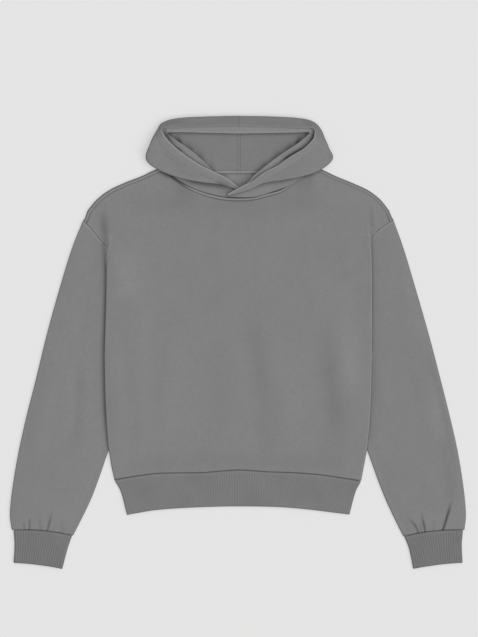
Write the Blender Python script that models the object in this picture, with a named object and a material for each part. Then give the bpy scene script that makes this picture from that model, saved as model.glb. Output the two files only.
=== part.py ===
"""A pullover hoodie laid flat on its back, face up, with the hood open.

+X is the wearer's left sleeve side seen from above on the right, +Y runs to the
hood and +Z is up.  The origin is the middle of the footprint, on the surface
that the garment lies on.  Sizes in the tables are millimetres.
"""

import bmesh
import bpy
import numpy as np

MM = 0.001
CLOTH = 1.8          # thickness of the fleece and of the rib
AIR = 0.6            # least air between two layers of cloth
SEAM = 0.3           # gap between two pieces where they are sewn
HALF = CLOTH / 2
FLOOR_LAYER = HALF   # middle of a layer that lies on the surface
TOP_LAYER = FLOOR_LAYER + CLOTH + AIR
TIGHT_FOLD = (CLOTH + AIR) / 2

CENTRING = (0.15, -0.56, 0.0)   # moves the middle of the footprint onto the origin

FLEECE_COLOUR = (0.213, 0.213, 0.213, 1.0)
RIB_COLOUR = (0.192, 0.192, 0.192, 1.0)
FLEECE_ROUGHNESS = 0.92
RIB_ROUGHNESS = 0.88

# One row for each section of the body, from the hem seam up the side fold and out
# along the armhole to the shoulder tip.  under and over are the heights of the
# back and the front layer at the fold, and roll says how far the fold is closed.
SIDES = (
    # left_x, left_y, right_x, right_y, under, over, roll
    (-215.2, -239.8, 214.6, -241.2, 0.9, 3.9, 1),
    (-220.2, -217.4, 219.1, -217.4, 0.9, 4.6, 1),
    (-223.3, -198.2, 222.6, -198.2, 3.2, 6.4, 1),
    (-226.3, -180.7, 225.6, -180.7, 5.5, 8.5, 1),
    (-229.1, -143.9, 229.6, -143.9, 5.5, 8.5, 1),
    (-231.7, -91.4, 232.4, -91.4, 5.5, 8.5, 1),
    (-232.8, -38.9, 233.4, -38.9, 5.5, 8.5, 1),
    (-232.6, -12.7, 233.8, -12.7, 5.5, 8.5, 1),
    (-232.4, 4.8, 234.0, 4.8, 5.5, 8.5, 1),
    (-231.7, 25.8, 234.2, 29.3, 5.5, 8.5, 1),
    (-230.3, 74.8, 234.2, 81.8, 5.5, 8.5, 1),
    (-229.6, 123.8, 233.8, 136.1, 4.9, 7.9, 1),
    (-230.7, 150.1, 233.1, 164.1, 3.2, 6.2, 1),
    (-231.7, 160.6, 233.4, 173.7, 2.3, 4.7, 0.5),
    (-232.6, 169.7, 234.3, 183.0, 0.9, 3.3, 0),
    (-246.8, 186.8, 246.1, 197.7, 0.9, 3.3, 0),
    (-260.2, 203.6, 259.2, 207.1, 0.9, 3.3, 0),
    (-270.6, 212.7, 271.1, 214.5, 0.9, 3.3, 0),
)
UNDERARM_ROW = 8     # the first section above the underarm
CORNER_ROW = 14      # where the armhole comes out from under the side fold

# The back armhole, from the underarm to the corner, one row for each section.
BACK_ARMHOLE = (
    # left_x, right_x
    (-219.5, 221.0),
    (-222.5, 224.2),
    (-226.2, 227.8),
    (-229.8, 231.0),
    (-231.2, 232.2),
    (-231.9, 232.9),
)

# The shoulder and the neck, from left to right, one row for each column of the body.
TOP = (
    # back_x, back_y, front_x, front_y
    (-262.5, 230.6, -257.9, 227.4),
    (-246.8, 249.3, -242.9, 245.3),
    (-225.8, 265.6, -223.0, 260.8),
    (-197.8, 279.0, -195.7, 274.1),
    (-169.8, 289.9, -167.7, 285.0),
    (-148.8, 299.9, -146.3, 295.0),
    (-133.9, 305.5, -131.2, 300.6),
    (-123.4, 303.5, -121.5, 297.1),
    (-112.0, 301.3, -108.5, 287.3),
    (-94.5, 299.9, -91.0, 276.1),
    (-73.5, 299.0, -70.0, 266.6),
    (-49.0, 298.5, -47.2, 259.3),
    (-24.5, 298.1, -22.8, 254.7),
    (1.8, 298.1, 1.8, 253.3),
    (26.2, 299.0, 27.1, 254.7),
    (50.8, 300.2, 52.5, 261.0),
    (75.2, 301.3, 75.2, 267.3),
    (94.5, 302.0, 94.5, 278.2),
    (112.0, 302.7, 110.2, 289.0),
    (124.8, 304.1, 123.9, 297.4),
    (135.6, 305.1, 133.9, 299.9),
    (150.5, 300.2, 148.1, 295.3),
    (171.5, 290.2, 169.4, 285.3),
    (199.5, 278.7, 197.4, 273.8),
    (227.5, 265.7, 224.3, 261.2),
    (248.5, 249.5, 244.5, 245.6),
    (263.4, 230.9, 258.8, 228.1),
)
NECK_COLUMNS = (7, 19)   # the columns between the two neck points

HEM_SEAM = (
    # x, y
    (-215.2, -239.8),
    (-176.8, -233.2),
    (-134.8, -228.6),
    (-63.5, -227.4),
    (-1.9, -223.0),
    (49.7, -225.8),
    (101.5, -227.8),
    (146.8, -231.6),
    (185.7, -237.2),
    (214.6, -241.6),
)
HEM_BOTTOM = (
    # x, y
    (-193.4, -300.9),
    (-178.0, -298.2),
    (-144.4, -292.9),
    (-91.9, -289.0),
    (-13.1, -286.4),
    (65.6, -287.4),
    (118.1, -291.3),
    (170.6, -297.6),
    (194.1, -300.4),
)
BAND_SIDES = (
    # left_x, left_y, right_x, right_y
    (-214.7, -240.6, 214.1, -242.4),
    (-203.6, -262.0, 204.4, -262.0),
    (-193.4, -300.9, 194.1, -300.4),
)

# One row for each section of a sleeve, from the armhole to the cuff.
SLEEVE_LEFT = (
    # outer_x, outer_y, inner_x, inner_y, front, crown
    (-270.6, 212.7, -232.6, 169.7, 3.3, 0.0),
    (-289.6, 164.9, -231.0, 130.8, 3.3, 0.7),
    (-309.2, 101.9, -226.8, 74.8, 3.3, 1.6),
    (-332.7, 17.9, -221.5, 8.3, 3.3, 2.4),
    (-353.2, -66.1, -202.1, -56.4, 3.3, 2.6),
    (-369.2, -129.1, -208.2, -129.9, 3.3, 2.6),
    (-383.2, -192.1, -231.3, -199.9, 3.5, 3.0),
    (-393.8, -255.1, -255.5, -267.3, 3.9, 3.2),
    (-398.1, -299.7, -276.5, -311.9, 3.9, 3.4),
    (-394.8, -327.3, -289.4, -337.1, 3.7, 0.6),
)
SLEEVE_RIGHT = (
    # outer_x, outer_y, inner_x, inner_y, front, crown
    (271.1, 214.5, 234.3, 183.0, 3.3, 0.0),
    (288.8, 164.9, 232.4, 137.8, 3.3, 0.7),
    (307.8, 101.9, 228.2, 78.3, 3.3, 1.6),
    (332.0, 17.9, 222.6, 8.3, 3.3, 2.4),
    (354.0, -66.1, 203.0, -56.4, 3.3, 2.6),
    (369.8, -129.1, 208.6, -129.9, 3.3, 2.6),
    (383.9, -192.1, 231.3, -199.9, 3.5, 3.0),
    (393.9, -255.1, 256.2, -267.3, 3.9, 3.2),
    (397.8, -299.7, 277.6, -313.7, 3.9, 3.4),
    (395.3, -327.3, 290.3, -338.5, 3.7, 0.6),
)
CUFF_LEFT = (
    # outer_x, outer_y, inner_x, inner_y
    (-391.6, -328.1, -291.2, -337.4),
    (-390.1, -353.9, -299.2, -360.9),
    (-391.7, -384.9, -308.3, -395.4),
)
CUFF_RIGHT = (
    # outer_x, outer_y, inner_x, inner_y
    (392.6, -328.1, 291.8, -338.8),
    (390.6, -353.9, 300.3, -361.3),
    (392.0, -384.7, 307.3, -395.2),
)
CUFF_BOW = (3.5, 2.6, 1.6)          # how far each cuff section bows up at its middle
RIB_PITCH = 4.3
RIB_HEIGHT = 0.5

# One row for each section of a hood half, from its front end round to the centre
# back.  Each line of the hood is a pair of columns: neck seam, tuck (the hidden
# outer fold), inner fold, outer roll and rim.  z columns are the heights of the
# layers that start there.
HOOD_LEFT = (
    # neck_x, neck_y, tuck_x, tuck_y, inner_x, inner_y, roll_x, roll_y, rim_x, rim_y,
    #   z_neck, z_tuck, z_inner, z_roll, z_rim, hem
    (8.8, 256.1, 8.8, 256.1, 7, 266.6, 7.9, 263.5, 7.5, 267.7, 4.5, 3.3, 4.3, 6.8, 8.6, 0),
    (-4.8, 254.7, -4.8, 254.7, -3, 271.9, -5.6, 269.4, 0.5, 272.7, 4.5, 3.3, 4.3, 6.9, 9.1, 0),
    (-29.8, 256.5, -29.8, 256.5, -21, 283.1, -35, 277.1, -21, 288.8, 4.5, 3.3, 4.5, 7.5, 10.6, 1),
    (-59.5, 263.5, -59.5, 263.5, -42.9, 300.2, -66.5, 281.3, -47.2, 301.3, 4.5, 3.3, 5.3, 8.3, 11.5, 1),
    (-85.8, 274, -85.8, 274, -63.9, 320.5, -101.5, 288.3, -70, 312.8, 4.5, 3.3, 5.4, 8.4, 11.8, 1),
    (-108.5, 288, -108.5, 288, -84, 337.5, -136.5, 301.3, -94.5, 329.4, 4.5, 3.3, 5.4, 8.4, 11.8, 1),
    (-119.9, 297.1, -119.9, 297.1, -104.1, 351, -160, 320.7, -114.6, 346.1, 4.5, 3.8, 5.3, 7.4, 11.0, 1),
    (-121.1, 303, -121.1, 303, -117.2, 360.4, -153, 347.5, -127.2, 359.7, 4.5, 4.3, 4.9, 7.2, 10.6, 1),
    (-109.5, 299.6, -127, 317, -120.2, 363, -147.7, 359.2, -130.5, 366, 3.0, 2.0, 4.4, 6.4, 9.0, 0),
    (-98, 297.2, -137, 345, -123.9, 365.3, -140.7, 372, -132.7, 372.3, 3, 0.9, 3.5, 5.7, 8.1, 0),
    (-84, 296.2, -132.5, 372, -119.9, 367.8, -132, 384, -126.9, 375.1, 3, 0.9, 3.3, 5.7, 8.1, 0),
    (-66, 295.8, -105, 386.7, -92.8, 367.9, -105, 391.7, -98, 375.5, 3, 0.9, 3.3, 5.7, 8.1, 0),
    (-36.8, 295.7, -54.2, 390.7, -49, 366.7, -54.2, 394.5, -50.8, 377.6, 3, 0.9, 3.3, 5.7, 8.1, 0),
    (1.8, 295.8, 1.8, 391.6, 1.8, 365.7, 1.8, 395.8, 1.8, 378.3, 3, 0.9, 3.3, 5.7, 8.1, 0),
)
HOOD_RIGHT = (
    # the same columns
    (-18.4, 255.4, -18.4, 255.4, -15.8, 261, -17.5, 256.8, -18.2, 259.6, 7.6, 6.8, 10.2, 12.7, 14.9, 0),
    (14, 254.4, 14, 254.4, 14, 277.8, 18.4, 266.8, 8.8, 274.3, 8.0, 8.0, 12.3, 14.8, 17.2, 0),
    (36.8, 257.2, 36.8, 257.2, 29.8, 293.6, 45.5, 278.9, 25.4, 282.2, 4.8, 6.4, 9.8, 12.6, 16.4, 0.3),
    (63, 265.6, 63, 265.6, 48.1, 308.8, 75.2, 283.8, 45.5, 297.1, 4.5, 4.6, 7.4, 10.8, 15.0, 1),
    (89.2, 275, 89.2, 275, 66.5, 323, 107.6, 289.7, 69.1, 309.7, 4.5, 3.8, 6.0, 9.4, 13.4, 1),
    (112, 289.7, 112, 289.7, 85.8, 336.3, 140, 300.2, 92.8, 326.1, 4.5, 3.4, 5.4, 8.6, 12.6, 1),
    (122, 297.1, 122, 297.1, 103.2, 347.3, 164.5, 320.7, 114.6, 339.1, 4.5, 3.8, 5.3, 7.4, 12.4, 1),
    (122.4, 303, 122.4, 303, 116.9, 358.3, 158.2, 340.5, 130, 354.5, 4.5, 4.3, 4.9, 7.2, 12, 1),
    (112, 300.6, 130, 317, 122.5, 363.2, 151.9, 355.7, 133.3, 363.6, 3.0, 2.0, 4.4, 6.4, 11.0, 0),
    (100, 298, 139, 345, 125.7, 366.4, 144.6, 372.3, 133.5, 370.6, 3, 0.9, 3.5, 5.7, 9.6, 0),
    (86, 297.1, 132.5, 372, 119.9, 368.5, 131.6, 385.6, 127.4, 374.8, 3, 0.9, 3.3, 5.7, 8.4, 0),
    (68, 296.7, 105, 387, 96.2, 367.2, 105, 391.9, 99.8, 374.8, 3, 0.9, 3.3, 5.7, 8.1, 0),
    (40.2, 296.2, 56, 390.7, 52.5, 366.4, 56, 394.7, 54.2, 377.2, 3, 0.9, 3.3, 5.7, 8.1, 0),
    (1.8, 295.8, 1.8, 391.6, 1.8, 365.7, 1.8, 395.8, 1.8, 378.3, 3, 0.9, 3.3, 5.7, 8.1, 0),
)
NECK_POINT = 7       # the section at the shoulder seam; the tuck starts there
HEM_WIDTH = 17.0
HEM_EXTRA = 1.2

# How far the front is lifted beside its side folds, against y.
LIFT_PLACES = (-241.0, -217.0, -198.0, -181.0, 124.0, 150.0, 170.0, 200.0, 260.0)
SLEEVE_LIFT = ((0.0,), (0.7,), (2.6,), (5.2,), (4.6,), (3.3,), (2.6,), (1.4,), (0.0,))

# Large soft folds of the front: a trough or a ridge along a line.
FRONT_FOLDS = (
    # x_top, y_top, x_bottom, y_bottom, width, height
    (18.0, 20.0, 32.0, -215.0, 26.0, -1.3),
    (-45.0, 30.0, -62.0, -215.0, 30.0, -0.9),
    (128.0, 0.0, 165.0, -215.0, 22.0, -1.3),
    (-150.0, 30.0, -188.0, -215.0, 22.0, -1.2),
    (78.0, 90.0, 96.0, -190.0, 30.0, 1.1),
    (-105.0, 60.0, -118.0, -190.0, 28.0, 0.9),
)


def smooth_step(low, high, value):
    """0 below low, 1 above high and an S-curve between them."""
    t = np.clip((value - low) / (high - low), 0.0, 1.0)
    return t * t * (3.0 - 2.0 * t)


def through(rows, at):
    """The smooth curve through every row of a table, read at fractional row numbers."""
    rows = np.asarray(rows, float)
    at = np.clip(np.asarray(at, float), 0.0, len(rows) - 1.0)
    low = np.minimum(at.astype(int), len(rows) - 2)
    t = (at - low)[:, None]
    slopes = np.gradient(rows, axis=0)
    start, end, go, arrive = rows[low], rows[low + 1], slopes[low], slopes[low + 1]
    return (
        start * (1 + 2 * t) * (1 - t) ** 2
        + go * t * (1 - t) ** 2
        + end * t * t * (3 - 2 * t)
        - arrive * t * t * (1 - t)
    )


def lengths(points):
    """How far along a line of points each one lies, from 0 to 1."""
    steps = np.linalg.norm(np.diff(points, axis=0), axis=1)
    run = np.concatenate([[0.0], np.cumsum(steps)])
    return run / run[-1]


def along(points, fractions):
    """Points at these fractions of the length of a line."""
    run = lengths(points)
    columns = [np.interp(fractions, run, points[:, k]) for k in range(points.shape[1])]
    return np.stack(columns, axis=-1)


def unit(vectors):
    """Vectors of length 1."""
    size = np.linalg.norm(vectors, axis=-1, keepdims=True)
    return vectors / np.maximum(size, 1e-9)


def patch(bottom, top, left, right):
    """Fill the plan outline of a panel: rows from bottom to top, columns left to right."""
    u = np.linspace(0.0, 1.0, len(bottom))[None, :, None]
    v = lengths((left + right) / 2.0)[:, None, None]
    corners = (
        (1 - u) * (1 - v) * bottom[0]
        + u * (1 - v) * bottom[-1]
        + (1 - u) * v * top[0]
        + u * v * top[-1]
    )
    across = (1 - u) * left[:, None] + u * right[:, None]
    up = (1 - v) * bottom[None] + v * top[None]
    return across + up - corners


def tangents(lines, closed):
    """Unit tangents along axis 0, in which a short step counts for more than a long one."""
    if closed:
        lines = np.concatenate([lines[-1:], lines, lines[:1]])
    steps = np.diff(lines, axis=0)
    size = np.maximum(np.linalg.norm(steps, axis=-1, keepdims=True), 1e-9)
    way = steps / size
    middle = unit(way[:-1] * size[1:] + way[1:] * size[:-1])
    if closed:
        return middle
    return np.concatenate([unit(2 * way[:1] - middle[:1]), middle, unit(2 * way[-1:] - middle[-1:])])


def normals(grid, closed):
    """Unit normals of a grid of points; closed joins its last column to its first."""
    across = np.swapaxes(tangents(np.swapaxes(grid, 0, 1), closed), 0, 1)
    return unit(np.cross(across, tangents(grid, False)))


def cloth(name, middle, outward, colour, roughness, inner=HALF, raised=0.0, closed=False, cells=None):
    """Make a wall of cloth about a middle surface, as one closed solid.

    outward is 1 or -1, the side of the grid that is the right side of the cloth.
    inner and raised may be grids: the inner half of the wall, and extra height on
    its outer points.  cells says which cells of the grid hold cloth.
    """
    facing = normals(middle, closed) * outward
    shape = middle.shape[:2]
    outer_side = middle + facing * np.expand_dims(HALF + np.zeros(shape) + raised, -1)
    inner_side = middle - facing * np.expand_dims(inner + np.zeros(shape), -1)
    rows, columns = shape
    last = columns if closed else columns - 1
    if cells is None:
        cells = np.ones((rows - 1, last), bool)
    mesh = bmesh.new()
    made = {}

    def corner(side, i, j):
        key = (side, i, j % columns)
        if key not in made:
            points = outer_side if side == 0 else inner_side
            place = points[i, j % columns] + CENTRING
            made[key] = mesh.verts.new((place[0] * MM, place[1] * MM, max(place[2], 0.0) * MM))
        return made[key]

    edges = {}
    for i, j in zip(*np.nonzero(cells)):
        ring = ((i, j), (i, j + 1), (i + 1, j + 1), (i + 1, j))
        mesh.faces.new([corner(0, *place) for place in ring])
        mesh.faces.new([corner(1, *place) for place in reversed(ring)])
        for a, b in zip(ring, ring[1:] + ring[:1]):
            a, b = (a[0], a[1] % columns), (b[0], b[1] % columns)
            if (b, a) in edges:
                del edges[(b, a)]
            else:
                edges[(a, b)] = True
    for a, b in edges:
        mesh.faces.new([corner(0, *b), corner(0, *a), corner(1, *a), corner(1, *b)])
    bmesh.ops.recalc_face_normals(mesh, faces=mesh.faces)
    data = bpy.data.meshes.new(name)
    mesh.to_mesh(data)
    mesh.free()
    data.shade_smooth()
    data.set_sharp_from_angle(angle=np.radians(50.0))
    piece = bpy.data.objects.new(name, data)
    bpy.context.scene.collection.objects.link(piece)
    data.materials.append(finish(name, colour, roughness))
    return piece


def finish(name, colour, roughness):
    """A plain cloth material."""
    material = bpy.data.materials.new(name)
    material.use_nodes = True
    shader = material.node_tree.nodes["Principled BSDF"]
    shader.inputs["Base Color"].default_value = colour
    shader.inputs["Roughness"].default_value = roughness
    shader.inputs["Metallic"].default_value = 0.0
    return material


# ---------------------------------------------------------------- body

SIDE_TABLE = np.array(SIDES)
TOP_TABLE = np.array(TOP)
LEFT_SIDE = SIDE_TABLE[:, 0:2]
RIGHT_SIDE = SIDE_TABLE[:, 2:4]
STRIP = 5.0          # flat margin of a panel beside the armhole
TIP_LAP = 4.5        # how far the back reaches over the shoulder at its tip
RAMP_START = 2.5     # the back starts to rise this far inside a hidden sleeve edge
RAMP_WIDTH = 10.0
ROLL_STEPS = 3


def outward_normals(line, sign):
    """Plan normals of a side line that runs up the body, pointing out of the body."""
    run = np.gradient(line, axis=0)
    return unit(np.stack([-run[:, 1], run[:, 0]], axis=-1) * sign)


def short_of_tip(line, distance):
    """A side line that stops this far short of the shoulder tip."""
    line = line.copy()
    line[-1] += unit(line[-2] - line[-1]) * distance
    return line


def tip_outward(line, sign):
    """Plan normal of the silhouette at a shoulder tip."""
    station = TOP_TABLE[0, 0:2] if sign < 0 else TOP_TABLE[-1, 0:2]
    run = unit(station - line[-1])
    return np.array([run[1], -run[0]]) * sign


def fold_distance(points):
    """How far inside the nearer side fold each plan point lies."""
    left = np.interp(points[..., 1], LEFT_SIDE[: CORNER_ROW + 1, 1], LEFT_SIDE[: CORNER_ROW + 1, 0])
    right = np.interp(
        points[..., 1], RIGHT_SIDE[: CORNER_ROW + 1, 1], RIGHT_SIDE[: CORNER_ROW + 1, 0]
    )
    return np.minimum(points[..., 0] - left, right - points[..., 0])


def front_height(points):
    """Middle height of the front layer: a soft crown, raised where it lies on the sleeves."""
    y = points[..., 1]
    inside = fold_distance(points)
    on_sleeve = through(SLEEVE_LIFT, np.interp(y, LIFT_PLACES, np.arange(len(SLEEVE_LIFT))).ravel())
    on_sleeve = on_sleeve.reshape(y.shape)
    ridge = smooth_step(-9.0, 0.0, inside) * (1.0 - smooth_step(36.0, 90.0, inside))
    crown = 0.5 * smooth_step(-241.0, -150.0, y) * smooth_step(0.0, 60.0, inside)
    crown = crown * (1.0 - smooth_step(180.0, 235.0, y))
    folds = np.zeros_like(y)
    for x0, y0, x1, y1, width, height in FRONT_FOLDS:
        t = np.clip((y - y0) / (y1 - y0), 0.0, 1.0)
        off = (points[..., 0] - (x0 + (x1 - x0) * t)) / width
        ends = smooth_step(0.0, 0.5, t) * (1.0 - smooth_step(0.93, 1.0, t) * 0.6)
        folds = folds + height * ends * np.exp(-off * off)
    hem = 0.6 * (1.0 - smooth_step(-241.0, -215.0, y)) * (y < 0)
    lift = np.maximum(on_sleeve * ridge, 0.0)
    return TOP_LAYER + lift + hem + np.maximum(crown + folds, 0.0) * (inside > 0) + 0.0


def body_columns(side):
    """The plan points of the front's or the back's top edge, column by column."""
    return TOP_TABLE[:, 2:4] if side == "front" else TOP_TABLE[:, 0:2]


def hem_columns(count, left_end, right_end):
    """Plan points of the hem seam between the two inset corners."""
    seam = through(HEM_SEAM, np.linspace(0, len(HEM_SEAM) - 1, 60))
    points = along(seam, np.linspace(0.0, 1.0, count))
    points[0] = left_end
    points[-1] = right_end
    return points


def make_front():
    """The front panel, rolled over at the sides and flat beside the armholes."""
    over, roll = SIDE_TABLE[:, 5], SIDE_TABLE[:, 6]
    under = SIDE_TABLE[:, 4]
    radius = np.maximum((over - under) / 2.0, TIGHT_FOLD)
    inset = roll * radius + (1 - roll) * STRIP
    out_left = outward_normals(LEFT_SIDE, 1.0)
    out_right = outward_normals(RIGHT_SIDE, -1.0)
    left = short_of_tip(LEFT_SIDE, TIP_LAP + 1.5) - out_left * inset[:, None]
    right = short_of_tip(RIGHT_SIDE, TIP_LAP + 1.5) - out_right * inset[:, None]
    top = np.concatenate([left[-1:], body_columns("front"), right[-1:]])
    bottom = hem_columns(len(top), left[0], right[0])
    bottom[1:-1, 1] += SEAM / 2
    plan = patch(bottom, top, left, right)
    height = front_height(plan)
    height[:, 0] = over
    height[:, -1] = over
    main = np.concatenate([plan, height[..., None]], axis=-1)
    margins = []
    for edge, out in ((left, out_left), (right, out_right)):
        columns = []
        for step in range(1, ROLL_STEPS + 1):
            share = step / ROLL_STEPS
            gap = SEAM / 2 if step == ROLL_STEPS else 0.0
            angle = share * np.pi / 2 - gap / radius
            flat = edge + out * (share * STRIP - gap)
            bent = edge + out * (radius * np.sin(angle))[:, None]
            drop = radius * (1.0 - np.cos(angle))
            place = flat * (1 - roll)[:, None] + bent * roll[:, None]
            columns.append(np.concatenate([place, (over - drop * roll)[:, None]], axis=-1))
        margins.append(columns)
    left_margin = np.stack(margins[0][::-1], axis=1)
    right_margin = np.stack(margins[1], axis=1)
    grid = np.concatenate([left_margin, main, right_margin], axis=1)
    cloth("front_panel", grid, 1.0, FLEECE_COLOUR, FLEECE_ROUGHNESS)


def back_side(side):
    """Plan line of the back panel's side: fold, then armhole, on the left or the right."""
    line = short_of_tip(LEFT_SIDE if side == "left" else RIGHT_SIDE, TIGHT_FOLD)
    column = 0 if side == "left" else 1
    for row, places in enumerate(BACK_ARMHOLE):
        line[UNDERARM_ROW + row, 0] = places[column]
    return line


def make_back():
    """The back panel: flat below, raised over the sleeves, brought over the shoulders."""
    over, under = SIDE_TABLE[:, 5], SIDE_TABLE[:, 4].copy()
    radius = np.maximum((over - under) / 2.0, TIGHT_FOLD)
    roll = (np.arange(len(SIDE_TABLE)) < UNDERARM_ROW).astype(float)
    under[UNDERARM_ROW + 1] = FLOOR_LAYER + 0.8
    under[UNDERARM_ROW + 2:] = FLOOR_LAYER
    clear = np.where(np.arange(len(SIDE_TABLE)) > UNDERARM_ROW, SEAM, 0.0)
    clear[-1] += SEAM
    inset = roll * radius + (1 - roll) * (STRIP + clear)
    lines = back_side("left"), back_side("right")
    out_left = outward_normals(LEFT_SIDE, 1.0)
    out_right = outward_normals(RIGHT_SIDE, -1.0)
    left = lines[0] - out_left * inset[:, None]
    right = lines[1] - out_right * inset[:, None]
    skip = [c for c in range(*NECK_COLUMNS) if (c - NECK_COLUMNS[0]) % 2 == 1]
    keep = [c for c in range(len(TOP_TABLE)) if c not in skip]
    neck = np.array([NECK_COLUMNS[0] < c < NECK_COLUMNS[1] for c in keep])
    fold_line, seam_line = body_columns("back")[keep], body_columns("front")[keep]
    across = unit(fold_line - seam_line)
    ends = [tip_outward(LEFT_SIDE, -1.0), tip_outward(RIGHT_SIDE, 1.0)]
    top = fold_line - across * TIGHT_FOLD * ~neck[:, None]
    top = np.concatenate([left[-1:], top, right[-1:]])
    bottom = hem_columns(len(top), left[0], right[0])
    bottom[1:-1, 1] += SEAM / 2
    plan = patch(bottom, top, left, right)
    for column, sign, fold in ((0, 1.0, LEFT_SIDE), (-1, -1.0, RIGHT_SIDE)):
        start = np.maximum(np.interp(fold[:, 1], *hidden_sleeve_width()) + RAMP_START, 8.0)
        step = 1 if column == 0 else -1
        fade = smooth_step(15.0, 80.0, fold[:, 1])
        inner_edge = (plan[:, column, 0] - fold[:, 0]) * sign
        for count, distance, least in ((1, start, 7.0), (2, start + RAMP_WIDTH, 22.0)):
            place = column + step * count
            wanted = fold[:, 0] + sign * np.maximum(distance, inner_edge + least)
            wanted = wanted * (1 - fade) + plan[:, place, 0] * fade
            for row in range(len(plan)):
                line = plan[row] if sign > 0 else plan[row, ::-1]
                y = np.interp(sign * wanted[row], sign * line[:, 0], line[:, 1])
                plan[row, place] = (wanted[row], y)
    lift = (under - FLOOR_LAYER)[:, None]
    height = np.full(plan.shape[:2], FLOOR_LAYER)
    height[:, [1, -2]] += lift
    height[:, 0] = under
    height[:, -1] = under
    main = np.concatenate([plan, height[..., None]], axis=-1)
    margins = []
    for edge, out in ((left, out_left), (right, out_right)):
        columns = []
        for step in (1, 2):
            share = step / 2
            gap = SEAM / 2 if step == 2 else 0.0
            angle = share * np.pi / 2 - gap / radius
            flat = edge + out * (share * STRIP - gap)
            bent = edge + out * (radius * np.sin(angle))[:, None]
            rise = radius * (1.0 - np.cos(angle))
            place = flat * (1 - roll)[:, None] + bent * roll[:, None]
            columns.append(np.concatenate([place, (under + rise * roll)[:, None]], axis=-1))
        margins.append(columns)
    grid = np.concatenate(
        [np.stack(margins[0][::-1], axis=1), main, np.stack(margins[1], axis=1)], axis=1
    )
    margin = 2
    out = np.concatenate([[ends[0]] * (margin + 1), across, [ends[1]] * (margin + 1)])
    reach = np.linalg.norm(fold_line - seam_line, axis=1) - 2 * SEAM
    reach = np.concatenate([[TIP_LAP] * (margin + 1), reach, [TIP_LAP] * (margin + 1)])
    flat = np.concatenate([[False] * (margin + 1), neck, [False] * (margin + 1)])
    rows = len(grid) - 1
    grid = np.concatenate([grid, shoulder_wrap(grid[-1], out, reach)])
    cells = np.ones((len(grid) - 1, grid.shape[1] - 1), bool)
    cells[rows:] = ~(flat[1:] | flat[:-1])
    cloth("back_panel", grid, -1.0, FLEECE_COLOUR, FLEECE_ROUGHNESS, cells=cells)


def hidden_sleeve_width():
    """How far a sleeve reaches under the body's side fold, against y."""
    inner = through(SLEEVE_LEFT, np.linspace(2, 6, 30))
    fold = np.interp(inner[:, 3], LEFT_SIDE[: CORNER_ROW + 1, 1], LEFT_SIDE[: CORNER_ROW + 1, 0])
    width = np.maximum(inner[:, 2] - fold, 0.0)
    return inner[::-1, 3], width[::-1]


def shoulder_wrap(last_row, out, reach):
    """Extra rows that take the back over the shoulder, reach inside the silhouette."""
    rows = []
    for degrees in (45.0, 90.0, 135.0, 180.0):
        angle = np.radians(degrees)
        place = last_row[:, :2] + out * TIGHT_FOLD * np.sin(angle)
        rise = TIGHT_FOLD * (1.0 - np.cos(angle))
        rows.append(np.concatenate([place, last_row[:, 2:] + rise], axis=-1))
    place = last_row[:, :2] + out * (TIGHT_FOLD - reach)[:, None]
    rows.append(np.concatenate([place, last_row[:, 2:] + 2 * TIGHT_FOLD], axis=-1))
    return np.stack(rows)


# ---------------------------------------------------------------- tubes

def flat_tube_rows(outer, inner, bend, crown, radius, front_shares, back_shares):
    """The two layers of a flattened tube, section by section.

    Shares run from 0 at the outer fold to 1 at the inner one, a row for each
    section.  bend gives the plan shift of each point of the front layer, and crown
    its extra height.
    """
    out_outer = outward_plan(outer, inner)
    out_inner = outward_plan(inner, outer)
    sections = []
    for i in range(len(outer)):
        r = radius[i]
        start = outer[i] - out_outer[i] * r
        stop = inner[i] - out_inner[i] * r

        def layer(shares, z):
            plan = start + (stop - start) * shares[:, None]
            shift = np.stack([np.interp(shares, front_shares[i], bend[i][:, k]) for k in (0, 1)], axis=-1)
            return np.concatenate([plan + shift, z[:, None]], axis=-1)

        top = layer(front_shares[i], FLOOR_LAYER + 2 * r + crown[i])
        floor = layer(back_shares[i], np.full(len(back_shares[i]), FLOOR_LAYER))
        sections.append((floor, top, r, outer[i], out_outer[i], inner[i], out_inner[i]))
    return sections


def outward_plan(line, other):
    """Plan normals of a long edge of a tube, pointing away from its other edge."""
    run = unit(np.gradient(line, axis=0))
    normal = np.stack([-run[:, 1], run[:, 0]], axis=-1)
    side = np.sum(normal * (line - other), axis=1)
    return normal * np.where(side < 0, -1.0, 1.0)[:, None]


def arc(edge, out, radius, degrees):
    """Points of a fold's bend; 0 is where it leaves the floor layer, 180 the top layer."""
    angle = np.radians(np.asarray(degrees, float))
    plan = edge + out * (radius * (np.sin(angle) - 1.0))[:, None]
    z = FLOOR_LAYER + radius * (1.0 - np.cos(angle))
    return np.concatenate([plan, z[:, None]], axis=-1)


SLEEVE_SECTIONS = 16
CREST_SHARES = np.array([0.0, 0.1, 0.27, 0.45, 0.63, 0.8, 0.93, 1.0])


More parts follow.
